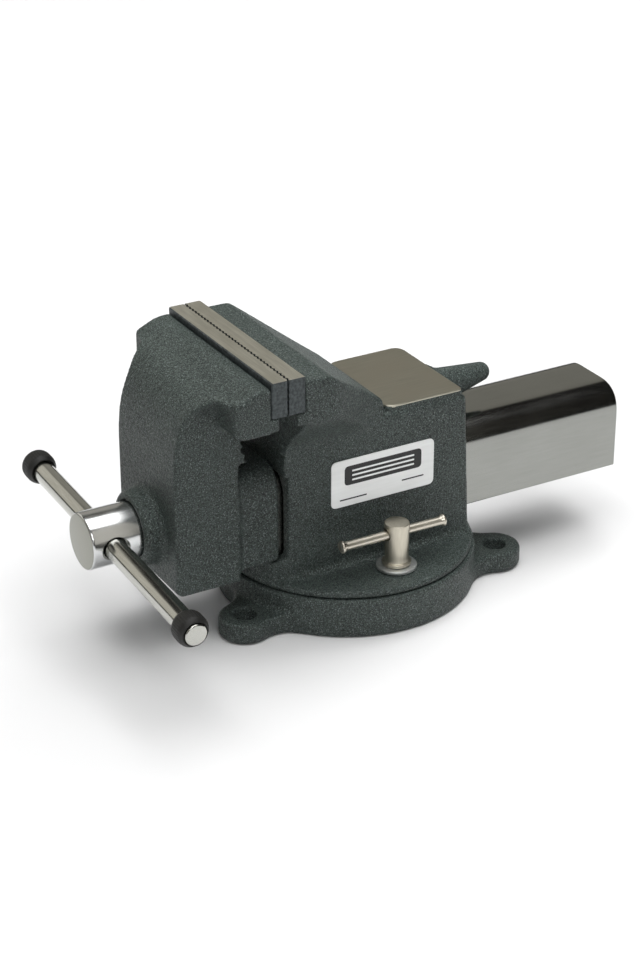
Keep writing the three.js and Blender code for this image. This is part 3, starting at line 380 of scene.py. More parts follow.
def jaw_field(x, y, z):
    ax = np.abs(x)
    shoulder_y = MOVING_SEAT - HEAD_DEPTH
    side = [(TOWER_BACK, TOWER_BOTTOM), (TOWER_BACK, CASTING_TOP - 0.6), (shoulder_y, TOWER_SHOULDER)]
    side += bezier((shoulder_y, TOWER_SHOULDER), (TOWER_FRONT + 7, TOWER_SHOULDER - 3),
                   (TOWER_FRONT, TOWER_SHOULDER - 16), (TOWER_FRONT, TOWER_SHOULDER - 40))
    side += rounded([(TOWER_FRONT, TOWER_BOTTOM, 4), (TOWER_FRONT + 12, TOWER_BOTTOM, 0),
                     (TOWER_FRONT, TOWER_BOTTOM + 12, 0)])[:9]
    tower_side = polygon(y, z, side)
    flare_top = CASTING_TOP - HEAD_CHAMFER - 0.2
    front_view = [(-10, TOWER_BOTTOM - 9), (HALF_TOWER, TOWER_BOTTOM - 9)]
    front_view += [(HALF_TOWER + FLARE_RADIUS * (1 - math.cos(a)), flare_top - FLARE_RADIUS * (1 - math.sin(a)))
                   for a in np.linspace(0, math.pi / 2, 13)]
    flare_end = HALF_TOWER + FLARE_RADIUS
    front_view += [(flare_end, CASTING_TOP + 9), (-10, CASTING_TOP + 9)]
    tower = both(tower_side, polygon(ax, z, front_view), 1.3)

    head = rounded([(MOVING_SEAT + 8, LIP_BOTTOM - 0.9, 0), (MOVING_SEAT + 8, CASTING_TOP, 0),
                    (MOVING_SEAT, CASTING_TOP, 0), (shoulder_y + 11, CASTING_TOP, 4),
                    (shoulder_y, CASTING_TOP - HEAD_CHAMFER, 2), (shoulder_y, CASTING_TOP - HEAD_HEIGHT, 5)])
    head_side = polygon(y, z, head)
    solid = joined(tower, both(head_side, ax - HALF_JAW, 1.6), HEAD_BLEND)
    behind = np.where(z > LIP_BOTTOM - 1.2, y - MOVING_SEAT, y - TOWER_BACK)
    solid = both(both(solid, np.minimum(both(tower_side, ax - flare_end - 1), head_side)), behind)
    solid = both(both(solid, z - CASTING_TOP), ax - HALF_JAW)

    lip = both(both(span(y, MOVING_SEAT - 3, MOVING_SEAT + LIP_DEPTH), span(z, LIP_BOTTOM, LIP_TOP), 0.8),
               ax - HALF_JAW, 0.8)
    teeth = both(polygon(y, z, pipe_teeth(TOWER_BACK - 0.5, 1)), ax - HALF_TOWER, 0.6)
    solid = joined(joined(solid, lip), teeth, 1.0)

    neck = rounded([(-10, BAR_BOTTOM, 0), (HALF_NECK, BAR_BOTTOM, 0.7), (HALF_NECK, NECK_TOP, 14),
                    (-10, NECK_TOP, 0)], 12)
    neck = both(polygon(ax, z, neck), span(y, TOWER_BACK - 12, NECK_BACK), 1.0)
    solid = joined(solid, neck, 3)

    rho = np.sqrt(x * x + (z - SCREW_Z) ** 2)
    boss = both(rho - BOSS_RADIUS, span(y, BOSS_FRONT, TOWER_FRONT + 9), 3.2)
    solid = joined(solid, boss, 3.0)

    pocket = both(polygon(ax, z, bar_outline(FIT + 0.1)), POCKET_FRONT - y)
    bottom = both(both(ax - HALF_CHANNEL, POCKET_FRONT + 16 - y), z - BAR_BOTTOM - 1)
    bore = both(rho - SCREW_RADIUS - SLIDING_FIT, y - BORE_END)
    seat = both(rho - HEAD_RADIUS - SLIDING_FIT, y - BOSS_FRONT - SEAT_DEPTH)
    solid = cut(solid, pocket, bottom)
    solid = cut(solid, bore, seat, edge=0.4)
    screws = both(rod(ax - SCREW_X, z - PLATE_MIDDLE, SCREW_HOLE), MOVING_FACE - SCREW_HOLE_DEPTH - y)
    pins = [both(rod(y - at, z - BAR_PIN_Z, BAR_PIN_HOLE), x - BAR_PIN_END) for at in BAR_PINS]
    return cut(solid, screws, *pins)


# ---- from distances to meshes ----

def surface_net(field, lo):
    """Quads round the zero level: one point in each crossed cell, one face on each crossed edge."""
    inside = field < 0
    nx, ny, nz = (n - 1 for n in field.shape)
    corners = [(i, j, k) for i in (0, 1) for j in (0, 1) for k in (0, 1)]

    def at(grid, c):
        return grid[c[0]:c[0] + nx, c[1]:c[1] + ny, c[2]:c[2] + nz]

    count = sum(at(inside, c).astype(np.uint8) for c in corners)
    cells = np.argwhere((count > 0) & (count < 8))
    index = np.full((nx, ny, nz), -1, np.int64)
    index[tuple(cells.T)] = np.arange(len(cells))
    total = np.zeros((len(cells), 3))
    weight = np.zeros(len(cells))
    for a in corners:
        for axis in range(3):
            if a[axis]:
                continue
            b = tuple(a[i] + (i == axis) for i in range(3))
            va = field[tuple((cells + a).T)].astype(float)
            vb = field[tuple((cells + b).T)].astype(float)
            hit = (va < 0) != (vb < 0)
            t = np.where(hit, va / np.where(hit, va - vb, 1), 0)
            point = np.array(a, float) + t[:, None] * (np.array(b) - a)
            total += np.where(hit[:, None], point, 0)
            weight += hit
    points = (cells + total / weight[:, None]) * STEP + lo
    faces = []
    for axis in range(3):
        u, v = (axis + 1) % 3, (axis + 2) % 3
        step = np.eye(3, dtype=int)
        first = inside[:-1, :-1, :-1]
        second = at(inside, step[axis])
        edges = np.argwhere(first != second)
        edges = edges[(edges[:, u] > 0) & (edges[:, v] > 0)]
        ring = [edges, edges - step[u], edges - step[u] - step[v], edges - step[v]]
        quad = np.stack([index[tuple(r.T)] for r in ring], 1)
        outward = first[tuple(edges.T)]
        quad[~outward] = quad[~outward][:, ::-1]
        faces.append(quad)
    return points, np.concatenate(faces)


def slope(field, lo, points):
    """The field's direction of steepest rise at points."""
    grid = (points - lo) / STEP
    result = np.zeros_like(points)
    for axis in range(3):
        for sign in (1, -1):
            p = grid.copy()
            p[:, axis] += sign * 0.6
            p = np.clip(p, 0, np.array(field.shape) - 1.001)
            cell = p.astype(int)
            f = p - cell
            value = 0
            for c in np.ndindex(2, 2, 2):
                share = np.prod([f[:, i] if c[i] else 1 - f[:, i] for i in range(3)], axis=0)
                value = value + share * field[tuple((cell + c).T)]
            result[:, axis] += sign * value
    return result / np.maximum(np.linalg.norm(result, axis=1), 1e-9)[:, None]


def new_object(name, mesh):
    piece = bpy.data.objects.new(name, mesh)
    bpy.context.scene.collection.objects.link(piece)
    return piece


def mesh_of(name, points, faces, smooth=True):
    mesh = bpy.data.meshes.new(name)
    corners = [tuple(p) for p in np.asarray(points) * MM]
    mesh.from_pydata(corners, [], [tuple(int(i) for i in face) for face in faces])
    mesh.validate()
    mesh.polygons.foreach_set("use_smooth", [smooth] * len(mesh.polygons))
    return mesh


def settle(piece):
    """Applies a piece's modifiers."""
    graph = bpy.context.evaluated_depsgraph_get()
    mesh = bpy.data.meshes.new_from_object(piece.evaluated_get(graph))
    piece.modifiers.clear()
    piece.data = mesh
    mesh.name = piece.name
    return piece


def casting(name, field_of, node, body, look):
    node_lo, node_hi = place(node)
    x, y, z = lattice(node_lo, node_hi)
    lo = np.array([x.flat[0], y.flat[0], z.flat[0]], float)
    field = np.ascontiguousarray(np.broadcast_to(field_of(x, y, z), (x.size, y.size, z.size)), np.float32)
    points, quads = surface_net(field, lo)
    points = np.clip(points, node_lo + 0.02, node_hi - 0.02)
    piece = new_object(name, mesh_of(name, points, quads))
    thin = piece.modifiers.new("thin", "DECIMATE")
    thin.ratio = DETAIL
    settle(piece)
    mesh = piece.data
    kept = np.empty(len(mesh.vertices) * 3)
    mesh.vertices.foreach_get("co", kept)
    normals = slope(field, lo, kept.reshape(-1, 3) / MM)
    mesh.polygons.foreach_set("use_smooth", [True] * len(mesh.polygons))
    mesh.normals_split_custom_set_from_vertices([tuple(n) for n in normals])
    return dress(piece, look, "casting", body, node)


def dress(piece, look, slot, body, *nodes):
    piece.data.materials.clear()
    piece.data.materials.append(look)
    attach(piece, body)
    if nodes:
        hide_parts(*nodes)
    return piece


def lathe_mesh(name, profile, sides=64, shape=None):
    """A profile of (radius, height) turned about the X axis; shape(angle, radius, height) bends it."""
    points, faces, rows = [], [], []
    for radius, height in profile:
        if radius <= 1e-6:
            rows.append([len(points)] * sides)
            points.append((height, 0, 0))
            continue
        rows.append(list(range(len(points), len(points) + sides)))
        for i in range(sides):
            angle = 2 * math.pi * i / sides
            r = shape(angle, radius, height) if shape else radius
            points.append((height, r * math.cos(angle), r * math.sin(angle)))
    pairs = list(zip(rows, rows[1:]))
    if profile[0][0] > 1e-6 and profile[-1][0] > 1e-6:
        pairs.append((rows[-1], rows[0]))
    for a, b in pairs:
        for i in range(sides):
            j = (i + 1) % sides
            corners = [a[i], b[i], b[j], a[j]]
            loop = [c for k, c in enumerate(corners) if c != corners[k - 1]]
            if len(loop) > 2:
                faces.append(loop)
    mesh = mesh_of(name, points, faces)
    outward(mesh)
    return mesh


def outward(mesh):
    work = bmesh.new()
    work.from_mesh(mesh)
    bmesh.ops.recalc_face_normals(work, faces=work.faces)
    work.to_mesh(mesh)
    work.free()


def softened(profile, radius=0.5, steps=3):
    """An open (radius, height) profile with its inner corners rounded."""
    points = [profile[0]]
    for before, here, after in zip(profile, profile[1:], profile[2:]):
        here = np.array(here, float)
        a, b = np.array(before) - here, np.array(after) - here
        la, lb = np.linalg.norm(a), np.linalg.norm(b)
        tangent = min(radius, la * 0.45, lb * 0.45)
        start, end = here + a / la * tangent, here + b / lb * tangent
        for t in np.linspace(0, 1, steps + 1):
            points.append(tuple((1 - t) ** 2 * start + 2 * t * (1 - t) * here + t * t * end))
    return points + [profile[-1]]


ALONG_X = Matrix.Identity(4)
ALONG_Y = Matrix.Rotation(math.pi / 2, 4, "Z")
ALONG_Z = Matrix.Rotation(-math.pi / 2, 4, "Y")
AGAINST_Y = Matrix.Rotation(-math.pi / 2, 4, "Z")
THROUGH = 30  # half the length of a cutter that goes right through


def at_mm(x, y, z, turn=ALONG_X):
    return Matrix.Translation((x * MM, y * MM, z * MM)) @ turn


def turned(name, profile, where, sides=64, shape=None):
    mesh = lathe_mesh(name, profile, sides, shape)
    mesh.transform(where)
    return new_object(name, mesh)


def sharpen(piece, degrees=40):
    """Keeps edges steeper than this crisp under smooth shading."""
    piece.data.set_sharp_from_angle(angle=math.radians(degrees))
    return piece


def carve(piece, *cutters):
    """Cuts solids out of a piece."""
    for cutter in cutters:
        hole = piece.modifiers.new("hole", "BOOLEAN")
        hole.operation = "DIFFERENCE"
        hole.solver = "EXACT"
        hole.object = cutter
    settle(piece)
    for cutter in cutters:
        bpy.data.objects.remove(cutter)
    return piece


def cylinder(radius, start, end, where, sides=48):
    return turned("cutter", [(0, start), (radius, start), (radius, end), (0, end)], where, sides)


def extruded(name, outline, start, end, where, bevel=0.5):
    """A closed (u, v) outline run along the local X axis, its two ends bevelled."""
    ring = np.array(outline, float)
    ahead = np.roll(ring, -1, 0) - ring
    ahead /= np.linalg.norm(ahead, axis=1)[:, None]
    normal = np.stack([ahead[:, 1], -ahead[:, 0]], 1)
    normal = normal + np.roll(normal, 1, 0)
    normal /= np.linalg.norm(normal, axis=1)[:, None]
    area = np.sum(ring[:, 0] * np.roll(ring[:, 1], -1) - ring[:, 1] * np.roll(ring[:, 0], -1))
    inner = ring - normal * bevel * np.sign(area)
    rows = [(start, inner), (start + bevel, ring), (end - bevel, ring), (end, inner)]
    points = [(w, u, v) for w, row in rows for u, v in row]
    n = len(ring)
    faces = [list(range(n)), [3 * n + i for i in range(n)]]
    for row in range(3):
        for i in range(n):
            j = (i + 1) % n
            faces.append([row * n + i, row * n + j, row * n + n + j, row * n + n + i])
    mesh = mesh_of(name, points, faces)
    outward(mesh)
    mesh.transform(where)
    return sharpen(new_object(name, mesh), 30)


# ---- materials ----

class Look:
    """A material built from nodes."""

    def __init__(self, name):
        self.material = bpy.data.materials.new(name)
        self.material.use_nodes = True
        self.tree = self.material.node_tree
        self.shader = self.tree.nodes["Principled BSDF"]
        self.coords = self.add("ShaderNodeTexCoord").outputs["Object"]

    def add(self, kind, **inputs):
        made = self.tree.nodes.new(kind)
        for key, value in inputs.items():
            if key in made.inputs:
                self.feed(made.inputs[key], value)
            else:
                setattr(made, key, value)
        return made

    def feed(self, socket, value):
        if isinstance(value, bpy.types.NodeSocket):
            self.tree.links.new(value, socket)
        else:
            socket.default_value = value

    def noise(self, scale, detail=3.0, stretch=(1, 1, 1), roughness=0.5):
        """Noise whose features are about 1 / scale metres across, drawn out along stretch."""
        mapping = self.add("ShaderNodeMapping", Vector=self.coords, Scale=[scale / s for s in stretch])
        texture = self.add("ShaderNodeTexNoise", Vector=mapping.outputs[0], Scale=1.0, Detail=detail,
                           Roughness=roughness)
        return texture.outputs["Fac"]

    def facing(self):
        """The way the true surface faces, as X, Y and Z."""
        geometry = self.add("ShaderNodeNewGeometry")
        return self.add("ShaderNodeSeparateXYZ", Vector=geometry.outputs["True Normal"])

    def ramp(self, value, low, high, out_low=0.0, out_high=1.0):
        made = self.add("ShaderNodeMapRange", Value=value)
        for socket, number in zip(list(made.inputs)[1:5], (low, high, out_low, out_high)):
            self.feed(socket, number)
        return made.outputs[0]

    def math(self, operation, a, b=0.0):
        made = self.tree.nodes.new("ShaderNodeMath")
        made.operation = operation
        self.feed(made.inputs[0], a)
        self.feed(made.inputs[1], b)
        return made.outputs[0]

    def blend(self, share, a, b):
        made = self.tree.nodes.new("ShaderNodeMix")
        made.data_type = "RGBA"
        self.feed(made.inputs[0], share)
        for socket, value in ((made.inputs[6], a), (made.inputs[7], b)):
            self.feed(socket, value if isinstance(value, bpy.types.NodeSocket) else (*value, 1))
        return made.outputs[2]

    def bump(self, height, depth, strength=1.0):
        """Tilts the surface as if it rose by height times depth metres."""
        made = self.add("ShaderNodeBump", Height=height, Distance=depth, Strength=strength)
        self.feed(self.shader.inputs["Normal"], made.outputs[0])
        return made

    def surface(self, **inputs):
        for key, value in inputs.items():
            socket = self.shader.inputs[key.replace("_", " ")]
            self.feed(socket, (*value, 1) if isinstance(value, tuple) and len(value) == 3 else value)
        return self.material


def cast_paint(name):
    """Sand-textured charcoal paint, with glints painted into its colour as light flecks."""
    look = Look(name)
    grain = look.noise(1200, 2.0, roughness=0.6)
    coarse = look.noise(330, 2.0)
    patches = look.noise(28, 3.0)
    tone = look.math("ADD", look.math("MULTIPLY", grain, 0.85), look.math("MULTIPLY", patches, 0.15))
    color = look.blend(look.ramp(tone, 0.36, 0.64), (0.007, 0.0100, 0.0092), (0.050, 0.067, 0.060))
    # painted glints: light grey flecks in the base colour stand for sparkle off the sand texture
    painted_glint = look.ramp(look.noise(1800, 1.0), 0.58, 0.68)
    color = look.blend(look.math("MULTIPLY", painted_glint, 0.62), color, (0.24, 0.285, 0.27))
    rough = look.ramp(grain, 0.3, 0.7, 0.6, 0.38)
    look.bump(look.math("ADD", grain, look.math("MULTIPLY", coarse, 0.8)), 0.0006, 1.0)
    return look.surface(Base_Color=color, Roughness=rough, Specular_IOR_Level=0.45)


def ground_iron(name):
    """The anvil's ground face."""
    look = Look(name)
    strokes = look.noise(900, 2.0, (1, 18, 1))
    cloud = look.noise(36, 2.0)
    steel = look.blend(look.ramp(strokes, 0.3, 0.7), (0.40, 0.385, 0.32), (0.52, 0.505, 0.42))
    steel = look.blend(look.ramp(cloud, 0.35, 0.7), steel, (0.47, 0.445, 0.365))
    look.bump(strokes, 0.000003, 0.6)
    return look.surface(Base_Color=steel, Roughness=look.ramp(strokes, 0.3, 0.7, 0.32, 0.42), Metallic=1.0)


def machined(name, dark, light, rough, stretch, scale=1400, wear=0.0, depth=0.00001, faced=None):
    """Metal with tool marks drawn out along stretch.

    Faces that look to -Y and lie before Y = faced, in mm, are duller.
    """
    look = Look(name)
    marks = look.noise(scale, 3.0, stretch)
    cloud = look.noise(45, 3.0)
    tone = look.math("ADD", look.math("MULTIPLY", marks, 0.6), look.math("MULTIPLY", cloud, 0.4))
    color = look.blend(look.ramp(tone, 0.35, 0.65), dark, light)
    if wear:
        spots = look.ramp(look.noise(300, 4.0), 0.62, 0.78)
        color = look.blend(look.math("MULTIPLY", spots, wear), color, (0.10, 0.09, 0.08))
    if faced is not None:
        place_of = look.add("ShaderNodeSeparateXYZ", Vector=look.coords)
        facing = look.facing()
        front = look.math("MULTIPLY", look.math("LESS_THAN", facing.outputs[1], -0.9),
                          look.math("LESS_THAN", place_of.outputs[1], faced * MM))
        color = look.blend(front, color, (0.27, 0.27, 0.235))
    look.bump(marks, depth, 0.6)
    return look.surface(Base_Color=color, Roughness=look.ramp(tone, 0.3, 0.7, rough * 0.8, rough * 1.25),
                        Metallic=1.0)


def plate_steel(name):
    """A jaw plate: ground on top, blackened elsewhere."""
    look = Look(name)
    facing = look.facing()
    top = look.math("GREATER_THAN", facing.outputs[2], 0.8)
    strokes = look.noise(1100, 2.0, (14, 1, 1))
    cloud = look.noise(60, 2.0)
    bright = look.blend(look.ramp(strokes, 0.3, 0.7), (0.64, 0.63, 0.55), (0.80, 0.78, 0.69))
    bright = look.blend(look.ramp(cloud, 0.45, 0.75, 0.0, 0.4), bright, (0.58, 0.56, 0.47))
    grain = look.noise(700, 2.0)
    black = look.blend(look.ramp(grain, 0.35, 0.65), (0.032, 0.039, 0.041), (0.075, 0.088, 0.09))
    color = look.blend(top, black, bright)
    rough = look.add("ShaderNodeMix", data_type="FLOAT", Factor=top, A=0.5,
                     B=look.ramp(strokes, 0.3, 0.7, 0.3, 0.42)).outputs[0]
    metal = look.ramp(top, 0.0, 1.0, 0.35, 1.0)
    look.bump(look.math("MULTIPLY", grain, look.ramp(top, 0.0, 1.0, 1.0, 0.05)), 0.0003, 0.8)
    return look.surface(Base_Color=color, Roughness=rough, Metallic=metal)


def rubber_look(name):
    look = Look(name)
    grain = look.noise(900, 2.0)
    color = look.blend(look.ramp(grain, 0.3, 0.7), (0.004, 0.004, 0.0035), (0.011, 0.011, 0.010))
    look.bump(grain, 0.0001, 0.5)
    return look.surface(Base_Color=color, Roughness=look.ramp(grain, 0.3, 0.7, 0.45, 0.62))


def printed(name, color_low, color_high, rough, metal):
    look = Look(name)
    sheen = look.noise(500, 2.0, (1, 9, 1))
    cloud = look.noise(50, 2.0)
    tone = look.math("ADD", look.math("MULTIPLY", sheen, 0.5), look.math("MULTIPLY", cloud, 0.5))
    color = look.blend(look.ramp(tone, 0.35, 0.65), color_low, color_high)
    look.bump(sheen, 0.000008, 0.4)
    return look.surface(Base_Color=color, Roughness=look.ramp(tone, 0.3, 0.7, rough, rough + 0.08),
                        Metallic=metal)


paint = cast_paint("cast_paint")
ground = ground_iron("ground_iron")
plates = plate_steel("plate_steel")
bar_steel = machined("bar_steel", (0.30, 0.305, 0.285), (0.33, 0.335, 0.315), 0.15, (1, 22, 1), wear=0.04,
                     depth=0.000002)
chrome = machined("chrome", (0.66, 0.67, 0.67), (0.75, 0.76, 0.76), 0.2, (1, 12, 12), scale=900, depth=0.000002,
                  faced=-136)
polished = machined("polished_rod", (0.46, 0.46, 0.425), (0.54, 0.54, 0.505), 0.16, (14, 1, 1), depth=0.000002)
nickel = machined("nickel", (0.55, 0.51, 0.42), (0.68, 0.64, 0.54), 0.36, (1, 1, 9), scale=1000, depth=0.000004)
nickel_bar = machined("nickel_bar", (0.58, 0.54, 0.46), (0.72, 0.68, 0.59), 0.34, (1, 9, 1), scale=1000,
                      depth=0.000004)
zinc = machined("zinc", (0.58, 0.60, 0.59), (0.74, 0.76, 0.75), 0.5, (1, 1, 1), scale=700)
dark_steel = machined("dark_steel", (0.045, 0.047, 0.05), (0.10, 0.105, 0.11), 0.42, (1, 1, 1), wear=0.2)
iron = machined("bare_iron", (0.16, 0.155, 0.145), (0.30, 0.29, 0.27), 0.45, (1, 8, 1), wear=0.3)
rubber = rubber_look("rubber")
foil = printed("foil", (0.80, 0.81, 0.80), (0.88, 0.89, 0.88), 0.34, 0.15)
ink = printed("ink", (0.006, 0.006, 0.006), (0.011, 0.011, 0.011), 0.4, 0.0)

# ---- camera ----

camera = new_object("camera", bpy.data.cameras.new("camera"))
camera.location = (0.8807, -0.5182, 0.5644)
aim = Vector((0.0434, -0.0387, 0.0791)) - camera.location
camera.rotation_euler = aim.to_track_quat("-Z", "Y").to_euler()
camera.data.sensor_fit = "VERTICAL"
camera.data.sensor_height = 36
camera.data.lens = 90
bpy.context.scene.camera = camera

# ---- castings ----

casting("base_casting", base_field, "swivel_base", "base", paint)
casting("body_casting", body_field, "vise_body", "body", paint)
anvil_face = extruded("anvil_face", [(v, -u) for u, v in anvil_outline(0.15)], ANVIL_TOP - 2, ANVIL_TOP,
                      ALONG_Z, 0.35)
dress(anvil_face, ground, "ground_steel", "body", "vise_body")
casting("front_casting", jaw_field, "moving_jaw", "front_jaw", paint)

# ---- jaw plates ----

SERRATION = 3.0
TOOTH_DEPTH = 0.75
TOOTH_GAP = 0.2
TOOTH_RIM = 0.12  # the plain edge stands back from the teeth by this


def zigzag(w):
    """A wave of straight flanks from -1 to 1, one to each SERRATION."""
    return np.abs((w / SERRATION) % 1 * 2 - 1) * 2 - 1


def jaw_plate(name, node, body, sign):
    """A plate whose toothed face looks along sign on Y; both faces share one zigzag, so they mesh."""
    lo, hi = place(node)
    face = lo[1] if sign < 0 else hi[1]
    back = hi[1] if sign < 0 else lo[1]
    bevel = 0.5
    xs = np.arange(lo[0] + bevel, hi[0] - bevel + 1e-6, SERRATION / 2)
    zs = np.arange(lo[2] + bevel, hi[2] - bevel + 1e-6, SERRATION / 2)
    gx, gz = np.meshgrid(xs, zs, indexing="ij")
    gy = face - sign * TOOTH_GAP + TOOTH_DEPTH * (zigzag(gx) + zigzag(gz - hi[2] + bevel)) * 0.5
    columns, rows = gx.shape
    points = list(zip(gx.ravel(), gy.ravel(), gz.ravel()))
    faces = []
    for i in range(columns - 1):
        for j in range(rows - 1):
            a, b, c, d = (i * rows + j, (i + 1) * rows + j, (i + 1) * rows + j + 1, i * rows + j + 1)
            faces += [(a, b, c), (a, c, d)] if (i + j) % 2 else [(a, b, d), (b, c, d)]
    rim = [i * rows for i in range(columns)] + [(columns - 1) * rows + j for j in range(1, rows)]
    rim += [i * rows + rows - 1 for i in range(columns - 2, -1, -1)] + [j for j in range(rows - 2, 0, -1)]
    previous = rim
    for inset, level in ((0.0, None), (0.0, back + sign * bevel), (bevel, back)):
        ring = []
        for k in rim:
            px, py, pz = points[k]
            ox = lo[0] + inset if k < rows else hi[0] - inset if k >= (columns - 1) * rows else px
            oz = lo[2] + inset if k % rows == 0 else hi[2] - inset if k % rows == rows - 1 else pz
            y = py - sign * TOOTH_RIM if level is None else level
            ring.append(len(points))
            points.append((ox, y, oz))
        for i in range(len(rim)):
            j = (i + 1) % len(rim)
            faces.append((previous[i], previous[j], ring[j], ring[i]))
        previous = ring
    faces.append(tuple(previous))
    mesh = mesh_of(name, points, faces, smooth=False)
    outward(mesh)
    piece = new_object(name, mesh)
    countersink = [(0, -3), (5.95, -3), (5.95, 1.5), (SCREW_HOLE, 4.05), (SCREW_HOLE, 12), (0, 12)]
    turn = ALONG_Y if sign < 0 else AGAINST_Y
    carve(piece, *[turned("cutter", countersink, at_mm(x, face, PLATE_MIDDLE, turn), 40)
                   for x in (-SCREW_X, SCREW_X)])
    return dress(piece, plates, "ground_steel", body, node)


jaw_plate("static_plate", "static_jaw_plate", "body", -1)
jaw_plate("moving_plate", "moving_jaw_plate", "front_jaw", 1)

# ---- slide bar ----

outer = rounded([(HALF_BAR, BAR_BOTTOM, 1), (HALF_BAR, BAR_TOP, BAR_CORNER), (-HALF_BAR, BAR_TOP, BAR_CORNER),
                 (-HALF_BAR, BAR_BOTTOM, 1)], 20)
inner = rounded([(-HALF_CHANNEL, BAR_BOTTOM, 0.8), (-HALF_CHANNEL, CHANNEL_TOP, 9),
                 (HALF_CHANNEL, CHANNEL_TOP, 9), (HALF_CHANNEL, BAR_BOTTOM, 0.8)], 8)
bar = extruded("slide_bar_steel", [(-u, v) for u, v in outer + inner], BAR_LO[1], BAR_HI[1], ALONG_Y, 0.6)
carve(bar, *[cylinder(2.8, -THROUGH, THROUGH, at_mm(0, y, BAR_PIN_Z), 32) for y in BAR_PINS])
dress(sharpen(bar, 30), bar_steel, "bar_steel", "front_jaw", "slide_bar")

# ---- spindle ----


def thread(name, start, end, pitch=5.0, depth=1.3, sides=40, rows=8):
    """A closed rod with a trapezoid thread, along the local X axis."""
    profile = [(0, start), (SCREW_RADIUS - 1.6, start), (SCREW_RADIUS - 0.2, start + 1.4)]
    count = int((end - start - 4) / pitch * rows)
    profile += [(SCREW_RADIUS, w) for w in np.linspace(start + 2, end - 2, count)]
    profile += [(SCREW_RADIUS - 1.4, end), (0, end)]

    def groove(angle, radius, height):
        if height < start + 1.9 or height > end - 1.9:
            return radius - depth * 0.5
        phase = (height / pitch + angle / (2 * math.pi)) % 1
        wave = min(max((abs(phase * 2 - 1) - 0.5) * 3 + 0.5, 0), 1)
        return radius - depth * wave

    return turned(name, profile, at_mm(0, 0, SCREW_Z, ALONG_Y), sides, groove)


head_profile = softened([(0, SPINDLE_LO[1]), (HEAD_RADIUS, SPINDLE_LO[1]), (HEAD_RADIUS, SHOULDER),
                         (SCREW_RADIUS, SHOULDER), (SCREW_RADIUS, JOURNAL_END), (0, JOURNAL_END)], 1.3, 5)
head = turned("spindle_steel", head_profile, at_mm(0, 0, SCREW_Z, ALONG_Y), 96)
tilt = Matrix.Rotation(TOMMY_TILT, 4, "Y")
tommy_at = at_mm(0, TOMMY_Y, SCREW_Z, tilt)
EYE = TOMMY_RADIUS + 0.5
EYE_THROAT = 12.2  # half the length of the eye's straight part
EYE_REACH = 20
EYE_FLARE = 7.8
eye = turned("cutter", [(0, -EYE_REACH), (EYE + EYE_FLARE, -EYE_REACH), (EYE, -EYE_THROAT), (EYE, EYE_THROAT),
                        (EYE + EYE_FLARE, EYE_REACH), (0, EYE_REACH)], tommy_at, 64)
pin_hole = cylinder(COLLAR_PIN_HOLE, -THROUGH, THROUGH, at_mm(0, COLLAR_PIN_Y, SCREW_Z), 32)
carve(head, eye, pin_hole)
shaft = thread("shaft", THREAD_START, SPINDLE_HI[1])
work = bmesh.new()
work.from_mesh(head.data)
work.from_mesh(shaft.data)
work.to_mesh(head.data)
work.free()
bpy.data.objects.remove(shaft)
dress(sharpen(head, 35), chrome, "bright_steel", "screw", "spindle")

# ---- tommy bar and its caps ----

rod_profile = softened([(0, TOMMY_FROM), (TOMMY_RADIUS, TOMMY_FROM), (TOMMY_RADIUS, TOMMY_TO),
                        (0, TOMMY_TO)], 0.9, 4)
tommy = turned("tommy_bar_steel", rod_profile, tommy_at, 64)
dress(sharpen(tommy, 50), polished, "bright_steel", "handle", "tommy_bar")


def cap(side):
    end = TOMMY_TO if side > 0 else TOMMY_FROM
    outer_end = end - side * CAP_SETBACK
    middle = outer_end - side * CAP_LENGTH / 2
    half = CAP_LENGTH / 2
    bore = TOMMY_RADIUS + 0.15
    corners = [(bore, -half + 0.4), (bore + 0.5, -half), (CAP_RADIUS - 1.6, -half), (CAP_RADIUS, -half + 2.2),
               (CAP_RADIUS, half - 2.2), (CAP_RADIUS - 1.6, half), (bore + 0.5, half), (bore, half - 0.4)]
    profile = [(r, middle + w) for r, w in softened(corners, 1.2, 4)]

    def ribs(angle, radius, height):
        side_on = max(0.0, 1 - abs(height - middle) / (half - 1.4)) ** 0.5
        return radius - (0.4 * side_on * (0.5 - 0.5 * math.cos(36 * angle)) if radius > CAP_RADIUS - 0.3 else 0)

    name = "right" if side > 0 else "left"
    piece = turned("handle_cap_" + name, profile, tommy_at, 144, ribs)
    dress(piece, rubber, "rubber", "handle", "tommy_cap_" + name)


cap(-1)
cap(1)

# ---- swivel locks ----


